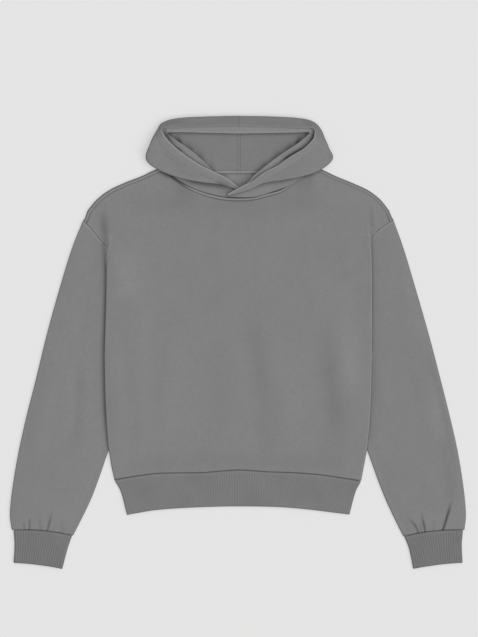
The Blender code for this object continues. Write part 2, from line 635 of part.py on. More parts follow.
def make_sleeve(side):
    """One sleeve: a C of cloth closed by the underarm seam, its cap open to the body."""
    table = SLEEVE_LEFT if side == "left" else SLEEVE_RIGHT
    line = LEFT_SIDE if side == "left" else RIGHT_SIDE
    places = np.concatenate([np.linspace(0, 8, SLEEVE_SECTIONS - 2), [8.6, 9.0]])
    rows = through(table, places)
    outer, inner, front = rows[:, 0:2], rows[:, 2:4], rows[:, 4]
    radius = (front - FLOOR_LAYER) / 2
    fold = line[: CORNER_ROW + 1]
    width = np.abs(outer[:, 0] - inner[:, 0])
    hidden = np.abs(np.interp(inner[:, 1], fold[:, 1], fold[:, 0])) - np.abs(inner[:, 0]) + 3.0
    crest = 1.0 - np.maximum(hidden, 7.0) / width
    shares = np.concatenate([crest[:, None] * CREST_SHARES, np.ones((len(rows), 1))], axis=1)
    crown = rows[:, 5:6] * np.sin(np.pi * np.append(CREST_SHARES, 1.0)) ** 0.7
    bow = np.interp(places, [0, 2, 8, 9], [0, 0, 3.0, 3.5])
    up = unit(-np.gradient((inner + outer) / 2, axis=0))
    bend = up[:, None] * (bow[:, None] * 4 * shares * (1 - shares))[..., None]
    sections = flat_tube_rows(outer, inner, bend, crown, radius, shares, shares[:, ::-1])
    closing = smooth_step(2.9, 3.4, places)
    grid = []
    for i, (floor, top, r, edge, out, far, far_out) in enumerate(sections):
        turn = arc(edge, out, np.full(3, r), (45, 90, 135))
        half_gap = np.degrees(SEAM / 2 / r)
        lower = arc(far, far_out, np.full(2, r), (90 - half_gap, 45))
        upper = arc(far, far_out, np.full(2, r), (135, 90 + half_gap))
        flat_low = floor[:1] + np.pad(far_out, (0, 1)) * np.array([[r], [r / 2]])
        flat_high = top[-1:] + np.pad(far_out, (0, 1)) * np.array([[r / 2], [r]])
        lower = flat_low + (lower - flat_low) * closing[i]
        upper = flat_high + (upper - flat_high) * closing[i]
        grid.append(np.concatenate([lower, floor, turn, top, upper]))
    grid = np.array(grid)
    layer = len(CREST_SHARES) + 1
    armhole = short_of_tip(short_of_tip(line, TIGHT_FOLD)[CORNER_ROW:][::-1], TIGHT_FOLD)
    normal = outward_normals(armhole[::-1], 1.0 if side == "left" else -1.0)[::-1]
    fractions = shares[0]
    cap = along(armhole, fractions) + along(normal, fractions) * SEAM
    grid[0, 2:2 + layer, :2] = cap[::-1]
    grid[0, 5 + layer:5 + 2 * layer, :2] = cap
    outward = 1.0 if side == "left" else -1.0
    cloth(f"sleeve_{side}", grid, -outward, FLEECE_COLOUR, FLEECE_ROUGHNESS)


def make_rib_tube(name, outer, inner, bend_line, crown, radius, ribs, floor_columns):
    """A ribbed tube lying flat: ribs on its top layer, and a plain floor layer.

    bend_line gives each section's plan shift away from the straight line between
    its ends, at a share from 0 to 1.
    """
    columns = 2 * ribs + 1
    count = len(outer)
    shares = np.tile(np.linspace(0.0, 1.0, columns), (count, 1))
    floor_shares = np.tile(np.linspace(1.0, 0.0, floor_columns), (count, 1))
    bend = np.array([bend_line(i, shares[i]) for i in range(count)])
    height = np.asarray(crown)[:, None] * np.sin(np.pi * shares) ** 0.6
    sections = flat_tube_rows(outer, inner, bend, height, np.full(count, radius), shares, floor_shares)
    grid = []
    for floor, top, r, edge, out, far, far_out in sections:
        first = arc(edge, out, np.full(3, r), (45, 90, 135))
        second = arc(far, far_out, np.full(3, r), (135, 90, 45))
        grid.append(np.concatenate([floor, first, top, second]))
    grid = np.array(grid)
    raised = np.zeros(grid.shape[:2])
    start = floor_columns + 3
    raised[:, start:start + columns] = np.where(np.arange(columns) % 2 == 1, RIB_HEIGHT, 0.0)
    turn = np.cross(inner[0] - outer[0], inner[-1] - inner[0])
    cloth(name, grid, 1.0 if turn > 0 else -1.0, RIB_COLOUR, RIB_ROUGHNESS, raised=raised, closed=True)


def make_cuffs():
    """Both cuffs."""
    for side, table in (("left", CUFF_LEFT), ("right", CUFF_RIGHT)):
        rows = np.array(table)
        outer, inner = rows[:, 0:2], rows[:, 2:4]
        ribs = int(round(np.linalg.norm(inner[1] - outer[1]) / RIB_PITCH))
        up = unit(-np.gradient((inner + outer) / 2, axis=0))

        def bow(section, share):
            return up[section] * (CUFF_BOW[section] * 4 * share * (1 - share))[:, None]

        make_rib_tube(f"cuff_{side}", outer, inner, bow, (0.4, 0.8, 0.6), 1.4, ribs, 4)


def make_waistband():
    """The ribbed band below the hem seam."""
    rows = np.array(BAND_SIDES)
    left, right = rows[:, 0:2], rows[:, 2:4]
    ribs = int(round(np.linalg.norm(right[1] - left[1]) / RIB_PITCH))
    share_down = np.array([0.0, 0.4, 1.0])

    def off_chord(table, share):
        line = along(through(table, np.linspace(0, len(table) - 1, 60)), share)
        chord = line[0] + (line[-1] - line[0]) * share[:, None]
        return line - chord

    def bow(section, share):
        top = off_chord(HEM_SEAM, share)
        bottom = off_chord(HEM_BOTTOM, share)
        return top + (bottom - top) * share_down[section]

    make_rib_tube("waistband", left, right, bow, (0.5, 1.0, 0.8), 1.5, ribs, 12)


# ---------------------------------------------------------------- hood

def hood_section(row):
    """Middle line of the hood's cloth from the neck seam, through its folds, to the rim."""
    neck, tuck, inner, roll, rim = row[:10].reshape(5, 2)
    z_neck, z_tuck, z_inner, z_roll, z_rim = row[10:15]
    r = TIGHT_FOLD
    r_roll = max((z_rim - z_roll) / 2, TIGHT_FOLD)
    to_inner = unit(inner - tuck)
    to_roll = unit(roll - inner)
    to_rim = unit(rim - roll)
    start = tuck - neck
    span = float(np.linalg.norm(start))
    open_share = min(span / (2 * r), 1.0)
    tuck_out = unit(unit(start) * open_share - to_inner) if span > 1e-6 else -to_inner
    inner_out = unit(to_inner - to_roll)
    roll_out = unit(to_roll - to_rim)

    def bend(place, out, radius, z_low, degrees):
        angle = np.radians(degrees)
        plan = place + out * (radius * (np.sin(angle) - 1.0))[:, None]
        return np.concatenate([plan, (z_low + radius * (1 - np.cos(angle)))[:, None]], axis=-1)

    short = bend(tuck, tuck_out, r, z_tuck, np.linspace(90 * (1 - open_share), 180, 7))
    short[0, 2] = z_neck
    arc_start = bend(tuck, tuck_out, r, z_tuck, np.linspace(0, 180, 5))
    first = np.append(neck, z_neck)
    full = np.concatenate([[first], [(first + arc_start[0]) / 2], arc_start])
    tuck_part = short + (full - short) * open_share
    inner_part = bend(inner, inner_out, r, z_inner, np.linspace(0, 180, 5))
    roll_part = bend(roll, roll_out, r_roll, z_roll, np.linspace(0, 180, 5))
    end = np.append(rim, z_rim)

    def between(a, b, shares):
        return a + (b - a) * np.array(shares)[:, None]

    back = roll_part[-1] - end
    reach = min(HEM_WIDTH / max(np.linalg.norm(back), 1e-6), 0.7)
    return np.concatenate([
        tuck_part,
        between(tuck_part[-1], inner_part[0], (0.33, 0.67)),
        inner_part,
        between(inner_part[-1], roll_part[0], (0.33, 0.67)),
        roll_part,
        between(roll_part[-1], end, (1 - reach, 1 - 0.9 * reach, 1.0)),
    ])


def make_hood(side):
    """One half of the hood, from its front end to the centre seam."""
    table = np.array(HOOD_LEFT if side == "left" else HOOD_RIGHT, float)
    places = np.concatenate([np.linspace(0, NECK_POINT, 13), np.linspace(NECK_POINT, len(table) - 1, 11)[1:]])
    rows = through(table, places)
    front = places <= NECK_POINT
    for columns in ([0, 1, 2, 3], [10, 11]):
        before = through(table[: NECK_POINT + 1, columns], places[front])
        after = through(table[NECK_POINT:, columns], places[~front] - NECK_POINT)
        rows[:, columns] = np.concatenate([before, after])
    grid = np.array([hood_section(row) for row in rows])
    sign = -1.0 if side == "left" else 1.0
    grid[-1, :, 0] = 1.8 + sign * SEAM / 2
    inner = np.full(grid.shape[:2], HALF)
    inner[:, -2:] += HEM_EXTRA * np.clip(rows[:, 15], 0, 1)[:, None]
    cloth(f"hood_{side}", grid, -sign, FLEECE_COLOUR, FLEECE_ROUGHNESS, inner=inner)


def main():
    """Clear the scene and make every piece."""
    for thing in list(bpy.data.objects):
        bpy.data.objects.remove(thing)
    make_back()
    make_front()
    for side in ("left", "right"):
        make_sleeve(side)
        make_hood(side)
    make_cuffs()
    make_waistband()


main()
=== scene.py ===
"""The looks of a pullover hoodie laid flat: its cloth, ribs, seams, stitches and light."""

import logging
from dataclasses import dataclass, field
from enum import Enum
from typing import Any, Callable, Sequence

import bpy
import numpy as np
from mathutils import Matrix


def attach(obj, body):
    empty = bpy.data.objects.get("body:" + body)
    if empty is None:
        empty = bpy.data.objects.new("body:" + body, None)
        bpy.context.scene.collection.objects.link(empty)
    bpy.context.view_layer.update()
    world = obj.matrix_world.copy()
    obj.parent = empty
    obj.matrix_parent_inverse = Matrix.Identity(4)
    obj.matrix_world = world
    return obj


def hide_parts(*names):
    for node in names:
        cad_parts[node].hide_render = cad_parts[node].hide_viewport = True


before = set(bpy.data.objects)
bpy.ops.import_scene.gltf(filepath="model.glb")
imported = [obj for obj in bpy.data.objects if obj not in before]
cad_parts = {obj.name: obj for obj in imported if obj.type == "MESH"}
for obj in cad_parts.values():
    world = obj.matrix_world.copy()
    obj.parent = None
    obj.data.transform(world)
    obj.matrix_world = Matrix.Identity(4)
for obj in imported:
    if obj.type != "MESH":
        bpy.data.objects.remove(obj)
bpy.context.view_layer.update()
log = logging.getLogger("hoodie")

Array = np.ndarray
Thing = bpy.types.Object

MM = 0.001
CLOTH = 1.8          # thickness of the fleece and of the rib
HALF = CLOTH / 2
AIR = 0.6
SEAM = 0.3           # gap between two pieces where they are sewn
FLOOR_LAYER = HALF   # middle of a layer that lies on the surface
TOP_LAYER = FLOOR_LAYER + CLOTH + AIR
TIGHT_FOLD = (CLOTH + AIR) / 2
CENTRING = np.array((0.15, -0.56, 0.0))

# The tables hold millimetres, in the same rows as the solids.
SIDES = (
    # left_x, left_y, right_x, right_y, under, over, roll
    (-215.2, -239.8, 214.6, -241.2, 0.9, 3.9, 1),
    (-220.2, -217.4, 219.1, -217.4, 0.9, 4.6, 1),
    (-223.3, -198.2, 222.6, -198.2, 3.2, 6.4, 1),
    (-226.3, -180.7, 225.6, -180.7, 5.5, 8.5, 1),
    (-229.1, -143.9, 229.6, -143.9, 5.5, 8.5, 1),
    (-231.7, -91.4, 232.4, -91.4, 5.5, 8.5, 1),
    (-232.8, -38.9, 233.4, -38.9, 5.5, 8.5, 1),
    (-232.6, -12.7, 233.8, -12.7, 5.5, 8.5, 1),
    (-232.4, 4.8, 234.0, 4.8, 5.5, 8.5, 1),
    (-231.7, 25.8, 234.2, 29.3, 5.5, 8.5, 1),
    (-230.3, 74.8, 234.2, 81.8, 5.5, 8.5, 1),
    (-229.6, 123.8, 233.8, 136.1, 4.9, 7.9, 1),
    (-230.7, 150.1, 233.1, 164.1, 3.2, 6.2, 1),
    (-231.7, 160.6, 233.4, 173.7, 2.3, 4.7, 0.5),
    (-232.6, 169.7, 234.3, 183.0, 0.9, 3.3, 0),
    (-246.8, 186.8, 246.1, 197.7, 0.9, 3.3, 0),
    (-260.2, 203.6, 259.2, 207.1, 0.9, 3.3, 0),
    (-270.6, 212.7, 271.1, 214.5, 0.9, 3.3, 0),
)

UNDERARM_ROW = 8     # the first section above the underarm
CORNER_ROW = 14      # where the armhole comes out from under the side fold

BACK_ARMHOLE = (
    # left_x, right_x
    (-219.5, 221.0),
    (-222.5, 224.2),
    (-226.2, 227.8),
    (-229.8, 231.0),
    (-231.2, 232.2),
    (-231.9, 232.9),
)

TOP = (
    # back_x, back_y, front_x, front_y
    (-262.5, 230.6, -257.9, 227.4),
    (-246.8, 249.3, -242.9, 245.3),
    (-225.8, 265.6, -223.0, 260.8),
    (-197.8, 279.0, -195.7, 274.1),
    (-169.8, 289.9, -167.7, 285.0),
    (-148.8, 299.9, -146.3, 295.0),
    (-133.9, 305.5, -131.2, 300.6),
    (-123.4, 303.5, -121.5, 297.1),
    (-112.0, 301.3, -108.5, 287.3),
    (-94.5, 299.9, -91.0, 276.1),
    (-73.5, 299.0, -70.0, 266.6),
    (-49.0, 298.5, -47.2, 259.3),
    (-24.5, 298.1, -22.8, 254.7),
    (1.8, 298.1, 1.8, 253.3),
    (26.2, 299.0, 27.1, 254.7),
    (50.8, 300.2, 52.5, 261.0),
    (75.2, 301.3, 75.2, 267.3),
    (94.5, 302.0, 94.5, 278.2),
    (112.0, 302.7, 110.2, 289.0),
    (124.8, 304.1, 123.9, 297.4),
    (135.6, 305.1, 133.9, 299.9),
    (150.5, 300.2, 148.1, 295.3),
    (171.5, 290.2, 169.4, 285.3),
    (199.5, 278.7, 197.4, 273.8),
    (227.5, 265.7, 224.3, 261.2),
    (248.5, 249.5, 244.5, 245.6),
    (263.4, 230.9, 258.8, 228.1),
)

NECK_COLUMNS = (7, 19)

HEM_SEAM = (
    # x, y
    (-215.2, -239.8),
    (-176.8, -233.2),
    (-134.8, -228.6),
    (-63.5, -227.4),
    (-1.9, -223.0),
    (49.7, -225.8),
    (101.5, -227.8),
    (146.8, -231.6),
    (185.7, -237.2),
    (214.6, -241.6),
)
HEM_BOTTOM = (
    # x, y
    (-193.4, -300.9),
    (-178.0, -298.2),
    (-144.4, -292.9),
    (-91.9, -289.0),
    (-13.1, -286.4),
    (65.6, -287.4),
    (118.1, -291.3),
    (170.6, -297.6),
    (194.1, -300.4),
)

BAND_SIDES = (
    # left_x, left_y, right_x, right_y
    (-214.7, -240.6, 214.1, -242.4),
    (-203.6, -262.0, 204.4, -262.0),
    (-193.4, -300.9, 194.1, -300.4),
)

SLEEVE_LEFT = (
    # outer_x, outer_y, inner_x, inner_y, front, crown
    (-270.6, 212.7, -232.6, 169.7, 3.3, 0.0),
    (-289.6, 164.9, -231.0, 130.8, 3.3, 0.7),
    (-309.2, 101.9, -226.8, 74.8, 3.3, 1.6),
    (-332.7, 17.9, -221.5, 8.3, 3.3, 2.4),
    (-353.2, -66.1, -202.1, -56.4, 3.3, 2.6),
    (-369.2, -129.1, -208.2, -129.9, 3.3, 2.6),
    (-383.2, -192.1, -231.3, -199.9, 3.5, 3.0),
    (-393.8, -255.1, -255.5, -267.3, 3.9, 3.2),
    (-398.1, -299.7, -276.5, -311.9, 3.9, 3.4),
    (-394.8, -327.3, -289.4, -337.1, 3.7, 0.6),
)
SLEEVE_RIGHT = (
    # outer_x, outer_y, inner_x, inner_y, front, crown
    (271.1, 214.5, 234.3, 183.0, 3.3, 0.0),
    (288.8, 164.9, 232.4, 137.8, 3.3, 0.7),
    (307.8, 101.9, 228.2, 78.3, 3.3, 1.6),
    (332.0, 17.9, 222.6, 8.3, 3.3, 2.4),
    (354.0, -66.1, 203.0, -56.4, 3.3, 2.6),
    (369.8, -129.1, 208.6, -129.9, 3.3, 2.6),
    (383.9, -192.1, 231.3, -199.9, 3.5, 3.0),
    (393.9, -255.1, 256.2, -267.3, 3.9, 3.2),
    (397.8, -299.7, 277.6, -313.7, 3.9, 3.4),
    (395.3, -327.3, 290.3, -338.5, 3.7, 0.6),
)
CUFF_LEFT = (
    # outer_x, outer_y, inner_x, inner_y
    (-391.6, -328.1, -291.2, -337.4),
    (-390.1, -353.9, -299.2, -360.9),
    (-391.7, -384.9, -308.3, -395.4),
)
CUFF_RIGHT = (
    # outer_x, outer_y, inner_x, inner_y
    (392.6, -328.1, 291.8, -338.8),
    (390.6, -353.9, 300.3, -361.3),
    (392.0, -384.7, 307.3, -395.2),
)

CUFF_BOW = (3.5, 2.6, 1.6)          # how far each cuff section bows up at its middle

HOOD_LEFT = (
    # neck_x, neck_y, tuck_x, tuck_y, inner_x, inner_y, roll_x, roll_y, rim_x, rim_y,
    #   z_neck, z_tuck, z_inner, z_roll, z_rim, hem
    (8.8, 256.1, 8.8, 256.1, 7, 266.6, 7.9, 263.5, 7.5, 267.7, 4.5, 3.3, 4.3, 6.8, 8.6, 0),
    (-4.8, 254.7, -4.8, 254.7, -3, 271.9, -5.6, 269.4, 0.5, 272.7, 4.5, 3.3, 4.3, 6.9, 9.1, 0),
    (-29.8, 256.5, -29.8, 256.5, -21, 283.1, -35, 277.1, -21, 288.8, 4.5, 3.3, 4.8, 7.8, 11.6, 1),
    (-59.5, 263.5, -59.5, 263.5, -42.9, 300.2, -66.5, 281.3, -47.2, 301.3, 4.5, 3.3, 6.4, 9.2, 13.8, 1),
    (-85.8, 274, -85.8, 274, -63.9, 320.5, -101.5, 288.3, -70, 312.8, 4.5, 3.3, 7.4, 9.8, 15.2, 1),
    (-108.5, 288, -108.5, 288, -84, 337.5, -136.5, 301.3, -94.5, 329.4, 4.5, 3.3, 7.8, 9.6, 15.6, 1),
    (-119.9, 297.1, -119.9, 297.1, -104.1, 351, -160, 320.7, -114.6, 346.1, 4.5, 3.8, 7.4, 8.6, 15.2, 1),
    (-121.1, 303, -121.1, 303, -117.2, 360.4, -153, 347.5, -127.2, 359.7, 4.5, 4.3, 7.2, 8.2, 14.8, 1),
    (-109.5, 299.6, -127, 317, -120.2, 363, -147.7, 359.2, -130.5, 366, 3, 2, 7, 7.2, 13.4, 0),
    (-98, 297.2, -137, 345, -123.9, 365.3, -140.7, 372, -132.7, 372.3, 3, 0.9, 6.8, 6.1, 12.2, 0),
    (-84, 296.2, -132.5, 372, -119.9, 367.8, -132, 384, -126.9, 375.1, 3, 0.9, 6.9, 5.8, 11.6, 0),
    (-66, 295.8, -105, 386.7, -92.8, 367.9, -105, 391.7, -98, 375.5, 3, 0.9, 7, 5.7, 11.4, 0),
    (-36.8, 295.7, -54.2, 390.7, -49, 366.7, -54.2, 394.5, -50.8, 377.6, 3, 0.9, 7, 5.7, 11.4, 0),
    (1.8, 295.8, 1.8, 391.6, 1.8, 365.7, 1.8, 395.8, 1.8, 378.3, 3, 0.9, 7, 5.7, 11.4, 0),
)
HOOD_RIGHT = (
    # the same columns
    (-18.4, 255.4, -18.4, 255.4, -15.8, 261, -17.5, 256.8, -18.2, 259.6, 7.6, 6.8, 10.2, 12.7, 14.9, 0),
    (14, 254.4, 14, 254.4, 14, 277.8, 18.4, 266.8, 8.8, 274.3, 8, 8, 12.3, 14.8, 17.6, 0),
    (36.8, 257.2, 36.8, 257.2, 29.8, 293.6, 45.5, 278.9, 25.4, 282.2, 4.8, 6.4, 10.4, 13.2, 18.2, 0.3),
    (63, 265.6, 63, 265.6, 48.1, 308.8, 75.2, 283.8, 45.5, 297.1, 4.5, 4.6, 8.6, 11.8, 17.6, 1),
    (89.2, 275, 89.2, 275, 66.5, 323, 107.6, 289.7, 69.1, 309.7, 4.5, 3.8, 7.8, 10.6, 17, 1),
    (112, 289.7, 112, 289.7, 85.8, 336.3, 140, 300.2, 92.8, 326.1, 4.5, 3.4, 7.8, 9.9, 16.6, 1),
    (122, 297.1, 122, 297.1, 103.2, 347.3, 164.5, 320.7, 114.6, 339.1, 4.5, 3.8, 7.4, 8.6, 16.4, 1),
    (122.4, 303, 122.4, 303, 116.9, 358.3, 158.2, 340.5, 130, 354.5, 4.5, 4.3, 7.2, 8.2, 16, 1),
    (112, 300.6, 130, 317, 122.5, 363.2, 151.9, 355.7, 133.3, 363.6, 3, 2, 7, 7.2, 15, 0),
    (100, 298, 139, 345, 125.7, 366.4, 144.6, 372.3, 133.5, 370.6, 3, 0.9, 6.8, 6.1, 13.6, 0),
    (86, 297.1, 132.5, 372, 119.9, 368.5, 131.6, 385.6, 127.4, 374.8, 3, 0.9, 6.9, 5.8, 12.2, 0),
    (68, 296.7, 105, 387, 96.2, 367.2, 105, 391.9, 99.8, 374.8, 3, 0.9, 7, 5.7, 11.4, 0),
    (40.2, 296.2, 56, 390.7, 52.5, 366.4, 56, 394.7, 54.2, 377.2, 3, 0.9, 7, 5.7, 11.4, 0),
    (1.8, 295.8, 1.8, 391.6, 1.8, 365.7, 1.8, 395.8, 1.8, 378.3, 3, 0.9, 7, 5.7, 11.4, 0),
)

NECK_POINT = 7

# How far the front is lifted beside its side folds, against y.
LIFT_PLACES = (-241.0, -217.0, -198.0, -181.0, 124.0, 150.0, 170.0, 200.0, 260.0)
SLEEVE_LIFT = ((0.0,), (0.7,), (2.6,), (5.2,), (4.6,), (3.3,), (2.6,), (1.4,), (0.0,))

# Distances from a sewn edge at which a panel has a line of points of its own.
SEWN = (0.0, 0.4, 0.9, 1.5, 2.4, 3.3, 4.0, 4.5, 5.0, 5.5, 6.1, 7.2)
PLAIN = (0.0, 0.5, 1.2, 2.2)


class Side(Enum):
    """The two sides of the garment, as seen from above."""

    LEFT = "left"
    RIGHT = "right"

    @property
    def sign(self) -> float:
        """-1 on the left and 1 on the right."""
        return -1.0 if self is Side.LEFT else 1.0


# ---------------------------------------------------------------- curves and grids


def smooth_step(low: float, high: float, value: Any) -> Any:
    """0 below low, 1 above high and an S-curve between them."""
    t = np.clip((value - low) / (high - low), 0.0, 1.0)
    return t * t * (3.0 - 2.0 * t)


def through(rows: Any, at: Any) -> Array:
    """The smooth curve through every row of a table.

    Args:
        rows: the table, one point a row.
        at: fractional row numbers.

    Returns:
        One point for each number.
    """
    rows = np.asarray(rows, float)
    at = np.clip(np.asarray(at, float), 0.0, len(rows) - 1.0)
    low = np.minimum(at.astype(int), len(rows) - 2)
    t = (at - low)[:, None]
    slopes = np.gradient(rows, axis=0)
    start, end, go, arrive = rows[low], rows[low + 1], slopes[low], slopes[low + 1]
    return (
        start * (1 + 2 * t) * (1 - t) ** 2
        + go * t * (1 - t) ** 2
        + end * t * t * (3 - 2 * t)
        - arrive * t * t * (1 - t)
    )


def in_stretches(rows: Any, at: Array, corners: Sequence[int]) -> Array:
    """The curve through a table that keeps a corner at some of its rows.

    Args:
        rows: the table.
        at: fractional row numbers, rising.
        corners: the rows at which the curve may turn sharply.

    Returns:
        One point for each number.
    """
    rows = np.asarray(rows, float)
    stops = [0, *corners, len(rows) - 1]
    out = np.zeros((len(at), rows.shape[1]))
    for first, last in zip(stops[:-1], stops[1:]):
        inside = (at >= first) & (at <= last)
        out[inside] = through(rows[first:last + 1], at[inside] - first)
    return out


def run(points: Array, axis: int = 0) -> Array:
    """How far along an axis each point of a line or a grid lies, from 0 at its start."""
    steps = np.linalg.norm(np.diff(points, axis=axis), axis=-1)
    start = np.zeros_like(np.take(steps, [0], axis=axis))
    return np.concatenate([start, np.cumsum(steps, axis=axis)], axis=axis)


def along(points: Array, fractions: Array) -> Array:
    """Points at these fractions of the length of a line."""
    place = run(points) / run(points)[-1]
    return np.stack([np.interp(fractions, place, column) for column in points.T], axis=-1)


def unit(vectors: Array) -> Array:
    """Vectors of length 1."""
    return vectors / np.maximum(np.linalg.norm(vectors, axis=-1, keepdims=True), 1e-9)


def spread(total: float, pitch: float, start: Sequence[float], end: Sequence[float]) -> Array:
    """Distances along a line: close together at its ends and even between them.

    Args:
        total: the line's length.
        pitch: the even spacing.
        start: the distances at the start, from 0.
        end: the distances at the end, measured back from it.

    Returns:
        The distances, rising from 0 to total.
    """
    low, high = np.array(start), total - np.array(end)[::-1]
    count = max(int(round((high[0] - low[-1]) / pitch)), 1)
    middle = np.linspace(low[-1], high[0], count + 1)[1:-1]
    return np.concatenate([low, middle, high])


def row_numbers(
    rows: Any, pitch: float, start: Sequence[float], end: Sequence[float], corners: Sequence[int] = ()
) -> Array:
    """Fractional row numbers that are spread along the curve through a table."""
    numbers = np.linspace(0, len(rows) - 1, 60 * (len(rows) - 1) + 1)
    line = run(in_stretches(rows, numbers, corners))
    found = np.interp(spread(line[-1], pitch, start, end), line, numbers)
    for corner in corners:
        found[np.argmin(np.abs(found - corner))] = corner
    return found


def patch(bottom: Array, top: Array, left: Array, right: Array) -> Array:
    """Fill the outline of a panel: rows from bottom to top, columns from left to right."""
    u = np.linspace(0.0, 1.0, len(bottom))
    sides = (left + right) / 2.0
    v = (run(sides) / run(sides)[-1])[:, None, None]
    u = (run(top) / run(top)[-1])[None, :, None] if len(top) == len(bottom) else u[None, :, None]
    corners = (
        (1 - u) * (1 - v) * bottom[0]
        + u * (1 - v) * bottom[-1]
        + (1 - u) * v * top[0]
        + u * v * top[-1]
    )
    across = (1 - u) * left[:, None] + u * right[:, None]
    return across + (1 - v) * bottom[None] + v * top[None] - corners


def tangents(lines: Array, closed: bool) -> Array:
    """Unit tangents along axis 0, in which a short step counts for more than a long one."""
    if closed:
        lines = np.concatenate([lines[-2:-1], lines, lines[1:2]])
    steps = np.diff(lines, axis=0)
    size = np.maximum(np.linalg.norm(steps, axis=-1, keepdims=True), 1e-9)
    way = steps / size
    middle = unit(way[:-1] * size[1:] + way[1:] * size[:-1])
    if closed:
        return middle
    ends = unit(2 * way[:1] - middle[:1]), unit(2 * way[-1:] - middle[-1:])
    return np.concatenate([ends[0], middle, ends[1]])


def normals(grid: Array, closed: bool = False) -> Array:
    """Unit normals of a grid of points; closed says that its last column is its first."""
    across = np.swapaxes(tangents(np.swapaxes(grid, 0, 1), closed), 0, 1)
    return unit(np.cross(across, tangents(grid, False)))


def ripple(points: Array, seed: int, longest: float, shortest: float) -> Array:
    """An even, soft unevenness between -1 and 1.

    Args:
        points: places, in millimetres.
        seed: which of the patterns.
        longest: the longest wave, in millimetres.
        shortest: the shortest wave.

    Returns:
        One height for each place.
    """
    chance = np.random.default_rng(seed)
    total = np.zeros(points.shape[:-1])
    waves = np.geomspace(longest, shortest, 14)
    for wave in waves:
        turn, shift = chance.uniform(0.0, 2 * np.pi, 2)
        way = np.array((np.cos(turn), np.sin(turn))) * 2 * np.pi / wave
        total = total + np.sin(points[..., :2] @ way + shift)
    return total / 5.0


@dataclass(frozen=True)
class Crease:
    """A soft trough or ridge of cloth along a line."""

    points: tuple[tuple[float, float], ...]
    width: float
    height: float
    lean: float = 0.0    # how much of the opposite form lies beside it, and on which side
    fade: float = 0.25   # share of its length over which each end dies away
    taper: float = 0.0   # share of its width lost at its last end, which then stays sharp

    def relief(self, places: Array) -> Array:
        """Its height at each place, in millimetres."""
        line = along(through(self.points, np.linspace(0, len(self.points) - 1, 40)), np.linspace(0, 1, 24))
        total = run(line)[-1]
        nearest = np.full(places.shape[:-1], 1e9)
        off = np.zeros_like(nearest)
        share = np.zeros_like(nearest)
        for k, (a, b) in enumerate(zip(line[:-1], line[1:])):
            step = b - a
            size = float(np.hypot(*step))
            t = np.clip(((places - a) @ step) / size**2, 0.0, 1.0)
            gap = places - a - t[..., None] * step
            far = np.hypot(gap[..., 0], gap[..., 1])
            side = np.sign(step[0] * gap[..., 1] - step[1] * gap[..., 0])
            near = far < nearest
            nearest = np.where(near, far, nearest)
            off = np.where(near, far * side, off)
            share = np.where(near, (k + t) / (len(line) - 1), share)
        fade = max(self.fade, 0.02)
        ends = smooth_step(0.0, fade, share)
        if not self.taper:
            ends = ends * (1 - smooth_step(1 - fade, 1.0, share))
        # Past its ends a crease dies away over its own width.
        width = self.width * (1 - self.taper * share)
        core = np.exp(-((np.minimum(total, nearest) / width) ** 2))
        beside = np.exp(-((off / width - 1.7 * np.sign(self.lean)) ** 2))
        return self.height * ends * (core - abs(self.lean) * beside)


def painted_stroke(line: Sequence[tuple[float, float]], width: float, share: float, fade: float) -> Crease:
    """A soft line of painted shade: share is how much darker the cloth is painted; below nothing it is
    painted light.
    """
    return Crease(line, width, share, 0.0, fade)


def seam_relief(distance: Array, allowance: float = 5.0, depth: float = 0.7, rise: float = 0.45) -> Array:
    """Height of the cloth beside a sewn edge: it dips into the seam, rises over the
    allowance under it and dips again along the row of top stitching."""
    dip = -0.55 * np.exp(-((distance / 0.75) ** 2))
    lift = rise * (1 - smooth_step(allowance - 0.8, allowance + 2.6, distance))
    row = -depth * np.exp(-(((distance - allowance) / 0.75) ** 2))
    return dip + lift + row


RIB_SEAM_PAINTED_SHADE = 0.85     # painted shade in the groove of the seam between the cloth and a rib
PLAIN_SEAM_PAINTED_SHADE = 0.08   # the same in an armhole seam


def line_of(distance: Array, middle: float, width: float) -> Array:
    """1 on a line that keeps a distance from a seam, and dying away beside it."""
    return np.exp(-(((distance - middle) / width) ** 2))


def joined_relief(distance: Array) -> Array:
    """Height of the cloth beside a plain seam with no top stitching."""
    return -0.6 * np.exp(-((distance / 0.8) ** 2)) + 0.15 * np.exp(-(((distance - 3.0) / 2.0) ** 2))


# ---------------------------------------------------------------- shaders

STEEP_FROM = 0.86    # rise of the normal below which a side counts as steep
STEEP_PAINTED_SHADE = 0.66    # weight of the painted shade on a steep side of a fold or edge
DARKEST_PAINTED_SHADE = 0.08       # tone of the darkest painted shade, as a share of the cloth's own
# limits of the painted shade, which is painted light below nothing
SHADE_RANGE = (-0.2, 0.92)


def operator(operation: str, reflected: bool = False) -> Callable[["Wire", Any], "Wire"]:
    """One of Python's operators, as a method that adds a Math node."""

    def method(self: "Wire", other: Any) -> "Wire":
        """Add the node and give its value."""
        values = (other, self) if reflected else (self, other)
        return self._math(operation, *values)

    return method


